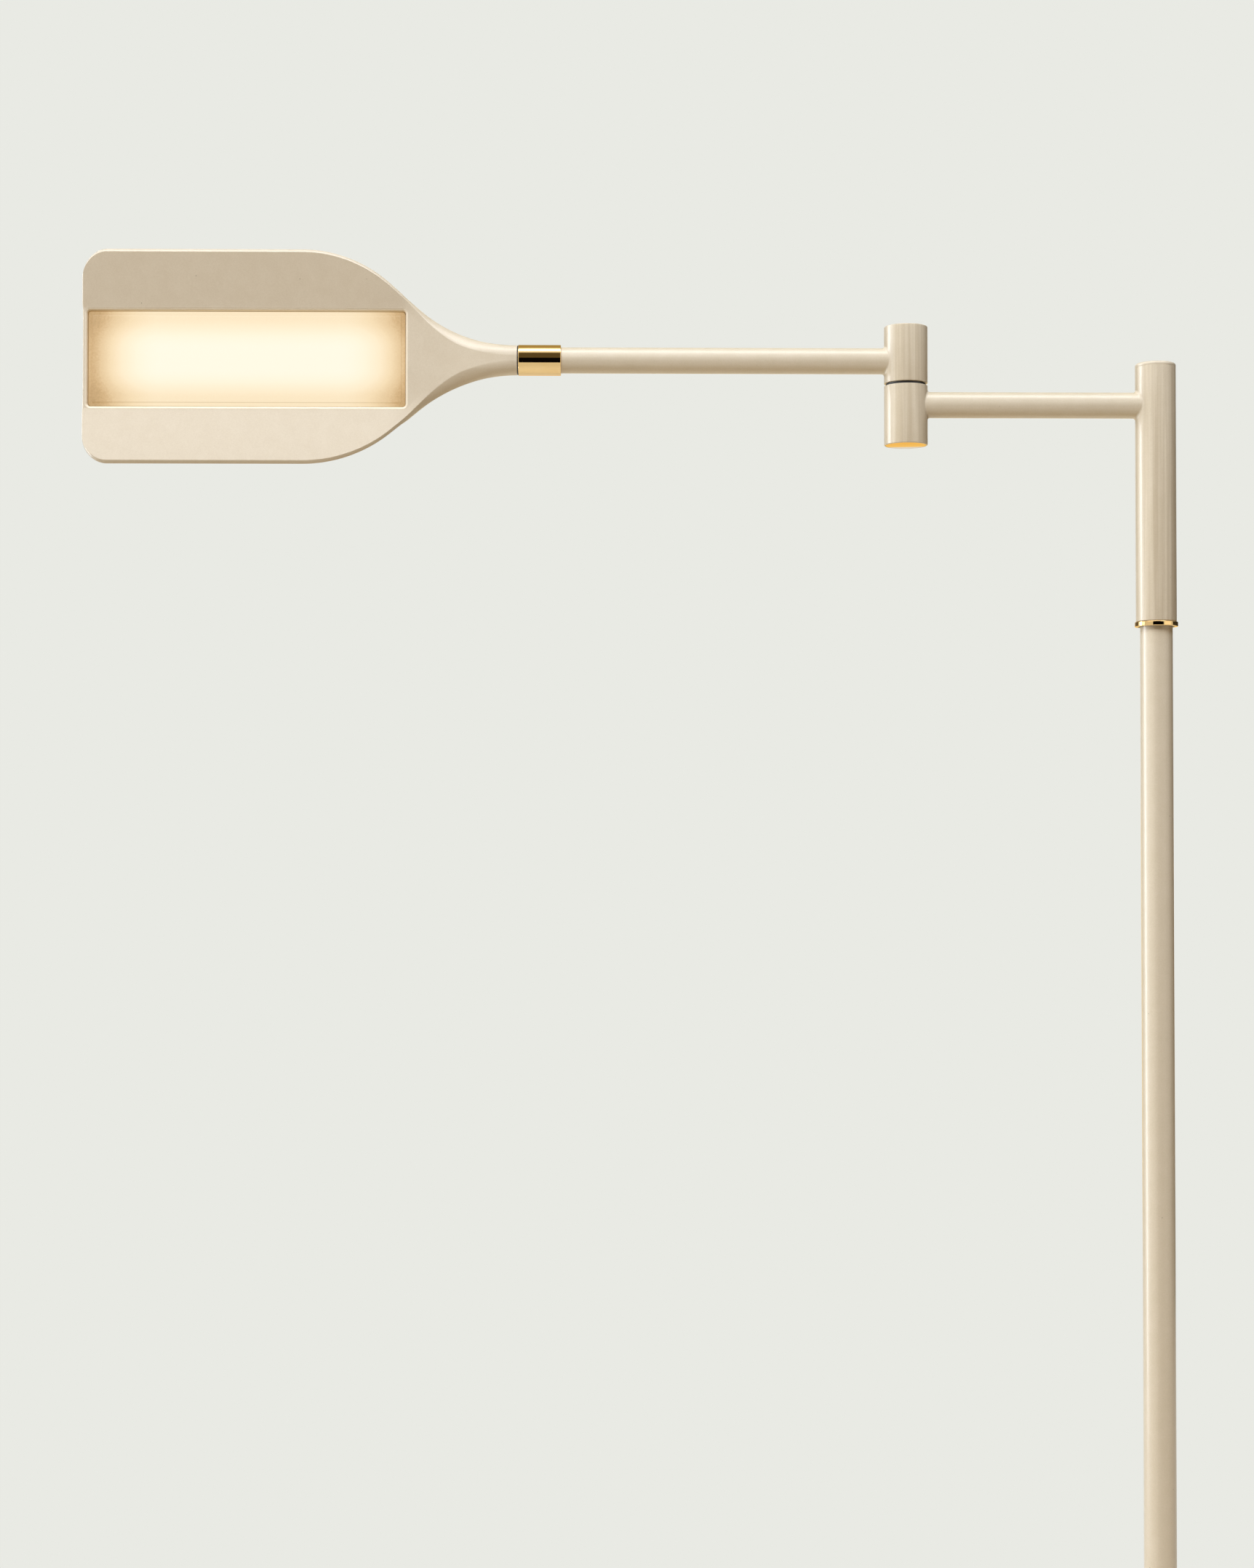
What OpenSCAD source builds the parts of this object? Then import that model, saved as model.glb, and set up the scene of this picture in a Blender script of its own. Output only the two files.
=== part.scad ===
// Adjustable arm floor lamp: a weighted base, a post with a sliding and turning sleeve,
// two level arms joined by a stacked elbow, and a trough-shaped light head on a brass swivel.
// The origin is under the middle of the base, on the post's axis. +Z is up, the arms reach
// along -X and the light faces -Y.

/* [Reach and height] */
// Height of the lower arm's axis above the floor
arm_height = 1270; // [1150:1:1450]
// Distance from the post's axis to the elbow's axis
lower_reach = 156; // [130:1:240]
// Distance from the elbow's axis to the near face of the brass collar
upper_reach = 214.8; // [180:0.1:300]
// How far the sleeve can slide down the post
height_travel = 70; // [40:1:75]

/* [Base] */
// Outer diameter of the base cover
base_d = 260; // [220:1:320]
// Thickness of the cast weight
weight_t = 18; // [16:0.5:24]
// Thickness of the pressed cover's sheet
cover_t = 1.5; // [1:0.1:2]
// Outside radius of the cover's rounded edge
cover_edge_r = 5; // [4:0.5:7]
// Thickness of the felt pad
pad_t = 2; // [1.5:0.5:4]
// Distance of the pad's edge inside the cover's edge
pad_inset = 8; // [5:1:15]
// Height of the cover's rim above the pad's top face
rim_lift = 0.5; // [0.3:0.1:1]
// Width of the wire channel under the weight
channel_w = 14; // [12:0.5:18]
// Depth of the wire channel under the weight
channel_h = 12; // [11:0.5:12.5]

/* [Cord gland] */
// Diameter of the gland's threaded body
gland_d = 8; // [7:0.5:8]
// Diameter of the gland's outer flange
gland_flange_d = 11; // [10:0.5:11.5]
// Thickness of the gland's outer flange
gland_flange_t = 2.5; // [2:0.5:4]
// Length of the gland inside the cover
gland_len = 9; // [8:0.5:12]
// Bore of the gland
gland_bore = 4; // [3.8:0.1:5]
// Width across the flats of the gland's nut
gland_nut_af = 11; // [10:0.5:11.5]
// Thickness of the gland's nut
gland_nut_t = 3; // [2:0.5:4]

/* [Post] */
// Outer diameter of the post
post_d = 20; // [19:0.1:20.2]
// Wall of the post
post_wall = 1.5; // [1.2:0.1:2]
// Diameter of the foot flange
flange_d = 60; // [54:1:80]
// Thickness of the foot flange
flange_t = 5; // [4:0.5:7]
// Outer diameter of the socket that holds the post
socket_d = 28; // [26:0.5:32]
// Height of the socket above the cover
socket_h = 24; // [18:1:40]
// Height of the shoulder that the post stands on, above the cover
socket_floor = 4; // [3:0.5:6]
// Diameter of the threaded boss under the flange
boss_d = 22; // [20:0.5:24]
// Bore of the threaded boss
boss_bore = 15; // [13:0.5:16]
// Diameter of the recess for the nut under the weight
nut_recess_d = 48; // [46:1:56]
// Depth of the recess for the nut under the weight
nut_recess_h = 12; // [11:0.5:13]
// Width across the flats of the post nut
post_nut_af = 32; // [30:1:36]
// Thickness of the post nut
post_nut_t = 5; // [4:0.5:6]
// Diameter of the post washer
post_washer_d = 42; // [38:1:44]
// Thickness of the post washer
post_washer_t = 1.5; // [1:0.5:1.5]
// Length of the guide plug's part above the post
plug_head_h = 12; // [8:1:14]
// Length of the guide plug's part inside the post
plug_spigot_h = 10; // [8:1:20]
// Bore of the guide plug
plug_bore = 12; // [8:0.5:13]

/* [Sleeve] */
// Outer diameter of the sleeve
sleeve_d = 25; // [24.5:0.1:28]
// Wall of the sleeve
sleeve_wall = 1.2; // [1:0.1:1.4]
// Height of the sleeve's top above the lower arm's axis
sleeve_above = 26.2; // [22:0.1:40]
// Length of the sleeve below the lower arm's axis
sleeve_below = 135.1; // [130:0.1:180]
// Thickness of the sleeve cap above the sleeve
cap_t = 2.3; // [2:0.1:4]
// Radius of the sleeve cap's rounded edge
cap_edge_r = 1.6; // [1:0.1:1.9]
// Depth of the sleeve cap's spigot
cap_spigot_h = 7; // [4:0.5:8]
// Outer diameter of the brass ring
ring_d = 26.6; // [26:0.1:30]
// Thickness of the brass ring
ring_t = 3; // [2:0.5:6]
// Length of the friction collet inside the sleeve
collet_len = 22; // [14:1:26]

/* [Arms] */
// Outer diameter of both arm tubes
arm_d = 16; // [14:0.5:16]
// Wall of both arm tubes
arm_wall = 1.5; // [1.2:0.1:1.8]

/* [Elbow] */
// Outer diameter of both barrels
barrel_d = 27; // [26:0.5:32]
// Height of the lower barrel
lower_barrel_h = 37.2; // [34:0.1:48]
// Height of the upper barrel
upper_barrel_h = 35.6; // [32:0.1:48]
// Gap between the two barrels
barrel_gap = 1.2; // [1:0.1:1.3]
// Diameter of the cavity in both barrels
cavity_d = 22; // [21.6:0.1:22.4]
// Thickness of the web that closes each barrel at the gap
web_t = 3.8; // [3.4:0.1:3.8]
// Width of the small chamfer on the barrels' outer edges
barrel_edge = 0.5; // [0.3:0.1:0.6]
// Depth of the lower arm's axis under the middle of the gap
lower_axis_drop = 12.5; // [12.5:0.1:18]
// Height of the upper arm's axis over the middle of the gap
upper_axis_rise = 14.8; // [12.4:0.1:16]
// Diameter of the pivot pin
pin_d = 12; // [11:0.5:12.5]
// Bore of the pivot pin
pin_bore = 5; // [4.6:0.1:5.4]
// Diameter of the pivot pin's head
pin_head_d = 20; // [18:0.5:20.5]
// Thickness of the pivot pin's head
pin_head_t = 2.2; // [1.5:0.1:2.2]
// How far the pivot pin stands out under its nut
pin_tail = 1; // [0.5:0.1:1.2]
// Wall of the elbow bush
bush_wall = 1; // [0.8:0.1:1.2]
// Diameter of the elbow bush's flange
bush_flange_d = 24.6; // [23.6:0.1:25]
// Diameter of the thrust washer under the lower web
thrust_d = 20; // [18:0.5:21]
// Thickness of the thrust washer
thrust_t = 1; // [0.8:0.1:1.2]
// Height of the disc spring
spring_h = 2; // [1.6:0.1:2.2]
// Thickness of the disc spring's sheet
spring_t = 0.8; // [0.6:0.1:1]
// Width across the flats of the elbow nut
elbow_nut_af = 17; // [16:0.5:18]
// Thickness of the elbow nut
elbow_nut_t = 5; // [4:0.5:5.5]
// Diameter of the stop dowel
dowel_d = 3; // [2.4:0.1:3]
// Radius at which the stop dowel stands
dowel_r = 9.3; // [9:0.1:9.4]
// How far the stop dowel reaches into the upper barrel's groove
dowel_reach = 1.7; // [1.2:0.1:2]
// Turn of the elbow to each side
elbow_turn = 150; // [90:1:155]
// Diameter of the brass disc under the elbow
disc_d = 25.2; // [24:0.1:25.4]
// Thickness of the brass disc, let into the foot of the lower barrel
disc_t = 1.6; // [1:0.1:3]
// Depth of the brass disc's spigot
disc_spigot_h = 5; // [3:0.5:8]
// Depth of the cap in the upper barrel's top
knuckle_cap_t = 3; // [2:0.5:6]

/* [Head swivel] */
// Outer diameter of the brass collar
collar_d = 19; // [18.6:0.1:22]
// Length of the brass collar
collar_len = 26.6; // [25:0.1:34]
// Depth of the collar's socket for the upper arm
collar_socket = 8; // [6:0.5:9]
// Thickness of the shoulder inside the collar
collar_web = 2; // [1.5:0.1:3]
// Diameter of the head's spigot
spigot_d = 11; // [10.4:0.1:11.4]
// Bore of the head's spigot
spigot_bore = 5; // [4.6:0.1:5.4]
// Length of the spigot inside the head
spigot_seat = 18; // [14:0.5:22]
// Wall of the swivel bush
swivel_bush_wall = 1.4; // [1.2:0.1:1.6]
// Thickness of the swivel bush's flange
swivel_flange_t = 0.5; // [0.4:0.1:1]
// Diameter of the stop screw
stop_d = 3; // [2.5:0.1:3.5]
// Depth of the stop groove in the spigot
stop_depth = 1.4; // [1:0.1:1.6]
// Distance of the stop screw from the collar's head end
stop_back = 8; // [6:0.5:9]
// Turn of the head to each side
head_turn = 135; // [90:1:150]

/* [Head] */
// Length of the head from the collar to its far end
head_len = 269; // [255:0.1:320]
// Half of the head's height
head_half = 66.4; // [60:0.1:76]
// Half of the neck's height at the collar
neck_half = 9.2; // [9:0.1:9.4]
// Width of the neck's rounded sides
neck_edge_r = 7.7; // [6.6:0.1:8.2]
// Radius of the neck's hollow flare
flare_r = 94; // [80:1:110]
// Radius of the head's round shoulder
shoulder_r = 82.6; // [70:0.1:95]
// Steepest angle of the head's outline
flare_angle = 40.5; // [38:0.1:44]
// Radius of the head's far corners
corner_r = 16.2; // [6:0.1:20]
// Radius of the rounded edge at the head's far end
end_edge_r = 1.5; // [0.8:0.1:1.6]
// Forward tilt of the two flaps
flap_tilt = 14; // [6:0.5:20]
// Thickness of the flaps
flap_t = 4; // [3:0.1:5]
// Distance of the web's front face in front of the arm's axis
web_front = 4; // [3.8:0.1:5]
// Distance of the housing's back face behind the arm's axis
housing_back = 10; // [9.8:0.1:13]
// Width over which the housing slopes down to the flaps
housing_slope = 9; // [6:0.5:12]
// Width of the web between the window and each crease
crease_margin = 1.2; // [0.8:0.1:2]
// How far before the window the flaps start to tilt
lean_lead = 18; // [8:1:30]
// Length over which the flaps reach their full tilt
lean_len = 28; // [16:1:40]
// How far past the window's near end the neck has turned into a plate
plate_lag = 4; // [0:0.5:10]
// Distance from the collar at which the neck starts to flatten
plate_from = 12; // [8:0.5:30]
// Length over which the neck's rounded sides narrow towards the plate
side_fall = 39; // [34:0.5:44]
// How far the flaps' far ends stand out past the web's
flap_reach = 0.3; // [0:0.1:1.5]
// How far the flaps' far ends slope back, for each millimetre of height
flap_rake = 0.05; // [0:0.01:0.1]
// Length over which the far end takes on that shape
tip_len = 24; // [16:1:40]
// Flat left on the neck's front face, inside the swivel's flange
neck_front_inset = 0.5; // [0.2:0.1:1]
// Flat left on the neck's back face, inside the swivel's flange
neck_back_inset = 0.2; // [0.2:0.1:1]

/* [Light panel] */
// Length of the window
window_len = 196.6; // [180:0.1:196.8]
// Height of the window
window_h = 59.5; // [50:0.1:60]
// Width of the rim at the window's far end
window_rim = 3.2; // [3:0.1:5]
// Radius of the window's corners
window_corner_r = 1.8; // [1:0.1:3]
// Depth of the diffuser below the web's face
diffuser_sink = 1.2; // [0.8:0.1:1.6]
// Thickness of the diffuser
diffuser_t = 2.8; // [2.2:0.1:2.9]
// Width of the diffuser's stepped border
border_w = 3.5; // [2:0.1:5]
// Depth of the diffuser's stepped border
border_step = 0.8; // [0.4:0.1:1.2]
// Distance from the diffuser to the circuit board
light_gap = 4; // [3.8:0.1:4.2]
// Wall of the reflector frame
reflector_wall = 2.5; // [1.5:0.1:3]
// Thickness of the circuit board
board_t = 1.6; // [1:0.1:1.6]
// Thickness of the heat spreader
spreader_t = 1.5; // [1:0.1:1.5]
// Side of each light source
chip_w = 3; // [2:0.1:4]
// Thickness of each light source
chip_t = 0.7; // [0.5:0.1:1]
// Number of light sources in a row
chip_count = 14; // [6:1:18]
// Distance between the two rows of light sources
chip_row_pitch = 22; // [16:1:28]
// Diameter of the board screws
screw_d = 3; // [2.5:0.1:3]
// Diameter of the board screws' heads
screw_head_d = 5.5; // [5:0.1:6]
// Height of the board screws' heads
screw_head_h = 1.6; // [1:0.1:2]
// Depth of the board screws in the shell
screw_bite = 1.8; // [1.2:0.1:2.2]
// Distance of the board screws from the board's edges
screw_inset = 6; // [5:0.5:8]
// Length of the terminal block
terminal_len = 9; // [7:0.5:12]
// Width of the terminal block
terminal_w = 8; // [6:0.5:10]
// Height of the terminal block
terminal_h = 2.6; // [2.2:0.1:2.7]

/* [Wires] */
// Diameter of the wires
wire_d = 3.4; // [2.6:0.1:3.6]
// Bend radius of the wires
wire_bend_r = 5; // [4.6:0.1:5.2]
// Length over which the head's wire moves back to the board's depth
wire_jog = 10; // [8:0.5:16]
// Length of the lead that hangs from the lower arm into the post
lead_drop = 30; // [20:1:60]

/* [Clearances] */
// Radial clearance of each running fit
run_clear = 0.05; // [0.03:0.01:0.08]
// Clearance between faces that turn past each other
face_clear = 0.2; // [0.1:0.05:0.4]
// Clearance between the cover and the weight
cover_clear = 0.3; // [0.2:0.1:0.6]
// Clearance around the light panel's pieces
panel_clear = 0.15; // [0.1:0.05:0.3]
// Clearance around the stops in their grooves
stop_clear = 0.3; // [0.2:0.05:0.4]
// Clearance between a wire and the wall that it lies on
wire_clear = 0.1; // [0.05:0.05:0.3]

/* [Hidden] */
$fn = 96;

// Paint and metal colours
cream = [0.86, 0.81, 0.71];
brass = [0.80, 0.63, 0.32];
steel = [0.66, 0.67, 0.69];
black = [0.12, 0.12, 0.13];
opal = [1.00, 0.93, 0.76];
// A small overlap that lets a cut pass through a face
eps = 0.5;

// Base levels
weight_top = pad_t + weight_t;
cover_top = weight_top + cover_t;
base_r = base_d / 2;
weight_r = base_r - cover_t - cover_clear;
gland_z = pad_t + channel_h / 2 + rim_lift;
post_foot = cover_top + socket_floor;
nut_ceiling = pad_t + nut_recess_h;
boss_end = nut_ceiling - post_washer_t - post_nut_t;

// Post and sleeve levels
sleeve_bore = sleeve_d - 2 * sleeve_wall;
post_bore = post_d - 2 * post_wall;
plug_top = arm_height - arm_d / 2 - face_clear - height_travel;
post_top = plug_top - plug_head_h;
sleeve_top = arm_height + sleeve_above;
sleeve_foot = arm_height - sleeve_below;
ring_top = sleeve_foot - face_clear;
ring_foot = ring_top - ring_t;
guide_d = sleeve_bore - 2 * run_clear;

// Elbow levels, from the middle of the gap
elbow_x = -lower_reach;
gap_z = arm_height + lower_axis_drop;
upper_axis_z = gap_z + upper_axis_rise;
half_gap = barrel_gap / 2;
arm_bore = arm_d - 2 * arm_wall;
thrust_top = -half_gap - web_t - face_clear / 2;
spring_top = thrust_top - thrust_t;
nut_top = spring_top - spring_h;
nut_foot = nut_top - elbow_nut_t;
pin_foot = nut_foot - pin_tail;
bush_d = pin_d + 2 * run_clear + 2 * bush_wall;
groove_h = dowel_reach - half_gap + stop_clear;

// Swivel places along the upper arm, from the elbow's axis
collar_end = upper_reach + collar_len;
bush_start = upper_reach + collar_socket + collar_web;
head_start = collar_end + swivel_flange_t + face_clear;
swivel_bush_d = spigot_d + 2 * run_clear + 2 * swivel_bush_wall;
stop_at = collar_end - stop_back;

// Head outline: hollow flare, straight flank, round shoulder, flat edge, far corner
straight_len = (head_half - neck_half - (flare_r + shoulder_r) * (1 - cos(flare_angle)))
    / sin(flare_angle);
flare_end = flare_r * sin(flare_angle);
flank_end = flare_end + straight_len * cos(flare_angle);
shoulder_end = flank_end + shoulder_r * sin(flare_angle);
crease_z = window_h / 2 + crease_margin;
window_end = head_len - window_rim;
window_start = window_end - window_len;
// Shares of the section that are flat: at the neck, and on the plate until its creases part
neck_flat = 0.55;
plate_flat = 0.86;
// Share of the flare by which the front face has come down to the web
flat_by = 0.8;
// Where the flaps' longer ends set in beside the crease, and the width of the change
tip_lead = 2;
tip_blend = 6;
// The neck has turned into a plate here
plate_to = window_start + plate_lag;

// Depths of the light panel, behind the arm's axis
diffuser_front = diffuser_sink - web_front;
diffuser_back = diffuser_front + diffuser_t;
board_front = diffuser_back + light_gap;
board_back = board_front + board_t;
pocket_floor = board_back + spreader_t;
wire_depth = board_front - wire_d / 2 - wire_clear;
neck_channel_d = wire_d + wire_depth + 2 * wire_clear;

function smooth(t) = t <= 0 ? 0 : t >= 1 ? 1 : t * t * (3 - 2 * t);
function mix(a, b, t) = a + (b - a) * t;
function arc_drop(r, x) = r - sqrt(max(0, r * r - x * x));

// Half of the head's height at the distance u from the collar
function outline(u) =
    u < flare_end ? neck_half + arc_drop(flare_r, u)
    : u < flank_end ? neck_half + arc_drop(flare_r, flare_end) + (u - flare_end) * tan(flare_angle)
    : u < shoulder_end ? head_half - arc_drop(shoulder_r, shoulder_end - u)
    : u < head_len - corner_r ? head_half
    : head_half - arc_drop(corner_r, u - head_len + corner_r);

// How far the neck has turned into a plate at u, from 0 to 1
function plated(u) = smooth((u - plate_from) / (plate_to - plate_from));

// A point of the route, one corner rounded off by an arc
function corner_arc(a, b, c, r, n) =
    let(
        p = (a - b) / norm(a - b),
        q = (c - b) / norm(c - b),
        half = acos(p * q) / 2,
        mid = (p + q) / norm(p + q),
        hub = b + mid * r / sin(half),
        start = b + p * r / tan(half),
        finish = b + q * r / tan(half),
        sweep = 180 - 2 * half
    )
    [for (i = [0:n])
        let(t = sweep * i / n)
        hub + (start - hub) * sin(sweep - t) / sin(sweep) + (finish - hub) * sin(t) / sin(sweep)];

// A route with each of its corners rounded off
function rounded_route(points, r) =
    concat(
        [points[0]],
        [for (i = [1:len(points) - 2]) each corner_arc(points[i - 1], points[i], points[i + 1], r, 6)],
        [points[len(points) - 1]]
    );

// A round wire along a flat route; flat is the normal of the route's plane
module wire(points, flat) {
    route = rounded_route(points, wire_bend_r);
    sides = 10;
    last = len(route) - 1;
    rings = [for (i = [0:last])
        let(
            ahead = route[min(i + 1, last)] - route[max(i - 1, 0)],
            side = cross(ahead / norm(ahead), flat)
        )
        for (k = [0:sides - 1])
            route[i] + wire_d / 2 * (cos(360 * k / sides) * side + sin(360 * k / sides) * flat)];
    polyhedron(
        points = rings,
        faces = concat(
            [[for (k = [sides - 1:-1:0]) k]],
            [for (i = [0:last - 1], k = [0:sides - 1])
                let(a = i * sides + k, b = i * sides + (k + 1) % sides)
                [a, b, b + sides, a + sides]],
            [[for (k = [0:sides - 1]) last * sides + k]]
        ),
        convexity = 6
    );
}

module pipe(outer, bore, h) {
    difference() {
        cylinder(d = outer, h = h);
        translate([0, 0, -eps]) cylinder(d = bore, h = h + 2 * eps);
    }
}

// Half section of a disc whose upper edge is rounded
module disc_section(r, foot, top, edge) {
    translate([0, foot]) square([r, top - foot - edge]);
    translate([0, foot]) square([r - edge, top - foot]);
    translate([r - edge, top - edge]) intersection() {
        circle(r = edge);
        square(edge);
    }
}

module hex_nut(af, bore, h) {
    difference() {
        cylinder(d = af / cos(30), h = h, $fn = 6);
        translate([0, 0, -eps]) cylinder(d = bore, h = h + 2 * eps);
    }
}

// Places its children on the elbow, with Z from the middle of the gap
module at_elbow() {
    translate([elbow_x, 0, gap_z]) children();
}

// Places its children on the upper arm's axis, s away from the elbow, with their Z along the arm
module along_upper(s) {
    translate([elbow_x - s, 0, upper_axis_z]) rotate([0, -90, 0]) children();
}

// Places its children in the head: their X runs from the collar to the far end, Y is to the back
module in_head() {
    translate([elbow_x - head_start, 0, upper_axis_z]) mirror([1, 0, 0]) children();
}

// ---------- base ----------

module base_weight() {
    color(black) difference() {
        rotate_extrude() disc_section(weight_r, pad_t, weight_top, cover_edge_r - cover_t);
        translate([0, 0, -eps]) cylinder(d = boss_d, h = weight_top + 2 * eps);
        translate([0, 0, -eps]) cylinder(d = nut_recess_d, h = nut_ceiling + eps);
        translate([-channel_w / 2, 0, -eps]) cube([channel_w, base_r, pad_t + channel_h + eps]);
    }
}

module base_cover() {
    color(cream) difference() {
        rotate_extrude() disc_section(base_r, pad_t + rim_lift, cover_top, cover_edge_r);
        rotate_extrude() disc_section(base_r - cover_t, -eps, weight_top, cover_edge_r - cover_t);
        translate([0, 0, -eps]) cylinder(d = boss_d, h = cover_top + 2 * eps);
        translate([0, 0, gland_z]) rotate([-90, 0, 0]) cylinder(d = gland_d, h = base_r + eps);
    }
}

module base_pad() {
    color(black) cylinder(r = base_r - pad_inset, h = pad_t);
}

module cord_gland() {
    color(black) translate([0, base_r + gland_flange_t, gland_z]) rotate([90, 0, 0]) difference() {
        union() {
            cylinder(d = gland_flange_d, h = gland_flange_t);
            cylinder(d = gland_d, h = gland_flange_t + gland_len);
        }
        translate([0, 0, -eps]) cylinder(d = gland_bore, h = gland_flange_t + gland_len + 2 * eps);
    }
}

module gland_nut() {
    color(black) translate([0, base_r - cover_t - cover_clear, gland_z]) rotate([90, 0, 0])
        hex_nut(gland_nut_af, gland_d, gland_nut_t);
}

module post_flange() {
    color(cream) difference() {
        union() {
            translate([0, 0, cover_top]) cylinder(d = flange_d, h = flange_t);
            translate([0, 0, cover_top]) cylinder(d = socket_d, h = socket_h);
            translate([0, 0, boss_end]) cylinder(d = boss_d, h = cover_top - boss_end + eps);
        }
        translate([0, 0, boss_end - eps]) cylinder(d = boss_bore, h = cover_top + socket_h);
        translate([0, 0, post_foot]) cylinder(d = post_d, h = socket_h);
    }
}

module post_washer() {
    color(steel) translate([0, 0, nut_ceiling - post_washer_t])
        pipe(post_washer_d, boss_d, post_washer_t);
}

module post_nut() {
    color(steel) translate([0, 0, boss_end]) hex_nut(post_nut_af, boss_d, post_nut_t);
}

// ---------- post ----------

module post() {
    color(cream) translate([0, 0, post_foot]) pipe(post_d, post_bore, post_top - post_foot);
}

module post_plug() {
    color(black) difference() {
        union() {
            translate([0, 0, post_top]) cylinder(d = guide_d, h = plug_head_h);
            translate([0, 0, post_top - plug_spigot_h]) cylinder(d = post_bore, h = plug_spigot_h + eps);
        }
        translate([0, 0, post_top - plug_spigot_h - eps])
            cylinder(d = plug_bore, h = plug_head_h + plug_spigot_h + 2 * eps);
    }
}

module post_wire() {
    // It drops from the gland to lie on the pad, and turns up inside the boss
    drop_start = base_r - gland_len - 2 * wire_bend_r;
    drop_end = drop_start - 2 * wire_bend_r;
    low = pad_t + wire_d / 2 + wire_clear;
    rise = boss_bore / 2 - wire_d - wire_clear;
    color(black) wire([
        [0, base_r - cover_t, gland_z],
        [0, drop_start, gland_z],
        [0, drop_end, low],
        [0, rise, low],
        [0, rise, post_top - plug_spigot_h - wire_clear]
    ], [1, 0, 0]);
}

// ---------- height ring ----------

module sleeve_ring() {
    color(brass) translate([0, 0, ring_foot]) pipe(ring_d, guide_d, ring_t);
}

module ring_collet() {
    color(black) translate([0, 0, ring_foot])
        pipe(guide_d, post_d + 2 * run_clear, ring_t + face_clear + collet_len);
}

// ---------- sleeve and lower arm ----------

module sleeve() {
    color(cream) difference() {
        translate([0, 0, sleeve_foot]) pipe(sleeve_d, sleeve_bore, sleeve_top - cap_t - sleeve_foot);
        translate([0, 0, arm_height]) rotate([0, -90, 0]) cylinder(d = arm_d, h = sleeve_d);
    }
}

module sleeve_cap() {
    color(cream) {
        rotate_extrude() disc_section(sleeve_d / 2, sleeve_top - cap_t, sleeve_top, cap_edge_r);
        translate([0, 0, sleeve_top - cap_t - cap_spigot_h]) cylinder(d = sleeve_bore, h = cap_spigot_h);
    }
}

module lower_arm() {
    color(cream) difference() {
        translate([0, 0, arm_height]) rotate([0, -90, 0]) pipe(arm_d, arm_bore, lower_reach);
        translate([0, 0, arm_height - arm_d]) cylinder(d = sleeve_bore, h = 2 * arm_d);
        translate([elbow_x, 0, arm_height - arm_d]) cylinder(d = cavity_d, h = 2 * arm_d);
    }
}

// A barrel of the elbow with both outer edges chamfered, standing on Z = 0
module barrel(h) {
    rotate_extrude() polygon([
        [0, 0],
        [barrel_d / 2 - barrel_edge, 0],
        [barrel_d / 2, barrel_edge],
        [barrel_d / 2, h - barrel_edge],
        [barrel_d / 2 - barrel_edge, h],
        [0, h]
    ]);
}

module lower_knuckle() {
    foot = -half_gap - lower_barrel_h;
    color(cream) at_elbow() difference() {
        translate([0, 0, foot]) barrel(lower_barrel_h);
        translate([0, 0, foot - eps]) cylinder(d = cavity_d, h = lower_barrel_h - web_t + eps);
        translate([0, 0, foot - eps]) cylinder(d = disc_d, h = disc_t + eps);
        translate([0, 0, foot]) cylinder(d = bush_d, h = lower_barrel_h + eps);
        translate([0, 0, -lower_axis_drop]) rotate([0, 90, 0]) cylinder(d = arm_d, h = barrel_d);
        translate([dowel_r, 0, -half_gap - web_t + face_clear]) cylinder(d = dowel_d, h = web_t + eps);
    }
}

module elbow_bush() {
    color(black) at_elbow() difference() {
        union() {
            translate([0, 0, -half_gap - web_t]) cylinder(d = bush_d, h = web_t + eps);
            translate([0, 0, -half_gap]) cylinder(d = bush_flange_d, h = barrel_gap - face_clear);
        }
        translate([0, 0, -half_gap - web_t - eps])
            cylinder(d = pin_d + 2 * run_clear, h = web_t + barrel_gap + 2 * eps);
        translate([dowel_r, 0, -half_gap - eps]) cylinder(d = dowel_d, h = barrel_gap + 2 * eps);
    }
}

module elbow_stop() {
    color(steel) at_elbow() translate([dowel_r, 0, -half_gap - web_t + face_clear])
        cylinder(d = dowel_d, h = half_gap + web_t - face_clear + dowel_reach);
}

module elbow_disc() {
    foot = -half_gap - lower_barrel_h;
    color(brass) at_elbow() {
        translate([0, 0, foot]) cylinder(d = disc_d, h = disc_t);
        translate([0, 0, foot]) cylinder(d = cavity_d, h = disc_t + disc_spigot_h);
    }
}

module lower_wire() {
    floor_z = arm_height - arm_bore / 2 + wire_d / 2 + wire_clear;
    color(black) wire([
        [0, 0, plug_top - lead_drop],
        [0, 0, floor_z],
        [elbow_x, 0, floor_z],
        [elbow_x, 0, gap_z - half_gap - web_t]
    ], [0, 1, 0]);
}

// ---------- upper arm ----------

module upper_knuckle() {
    blocked = 180 - elbow_turn - asin((dowel_d / 2 + stop_clear) / dowel_r);
    color(cream) at_elbow() difference() {
        translate([0, 0, half_gap]) barrel(upper_barrel_h);
        translate([0, 0, half_gap + web_t]) cylinder(d = cavity_d, h = upper_barrel_h);
        cylinder(d = pin_d, h = upper_barrel_h);
        translate([0, 0, upper_axis_rise]) rotate([0, -90, 0]) cylinder(d = arm_d, h = barrel_d);
        // Groove for the stop dowel, open on all but the far side
        translate([0, 0, half_gap - eps]) rotate([0, 0, blocked - 180])
            rotate_extrude(angle = 360 - 2 * blocked)
            translate([dowel_r - dowel_d / 2 - stop_clear, 0])
            square([dowel_d + 2 * stop_clear, groove_h + eps]);
    }
}

module knuckle_cap() {
    color(cream) at_elbow() translate([0, 0, half_gap + upper_barrel_h - knuckle_cap_t])
        cylinder(d = cavity_d, h = knuckle_cap_t);
}

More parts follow.
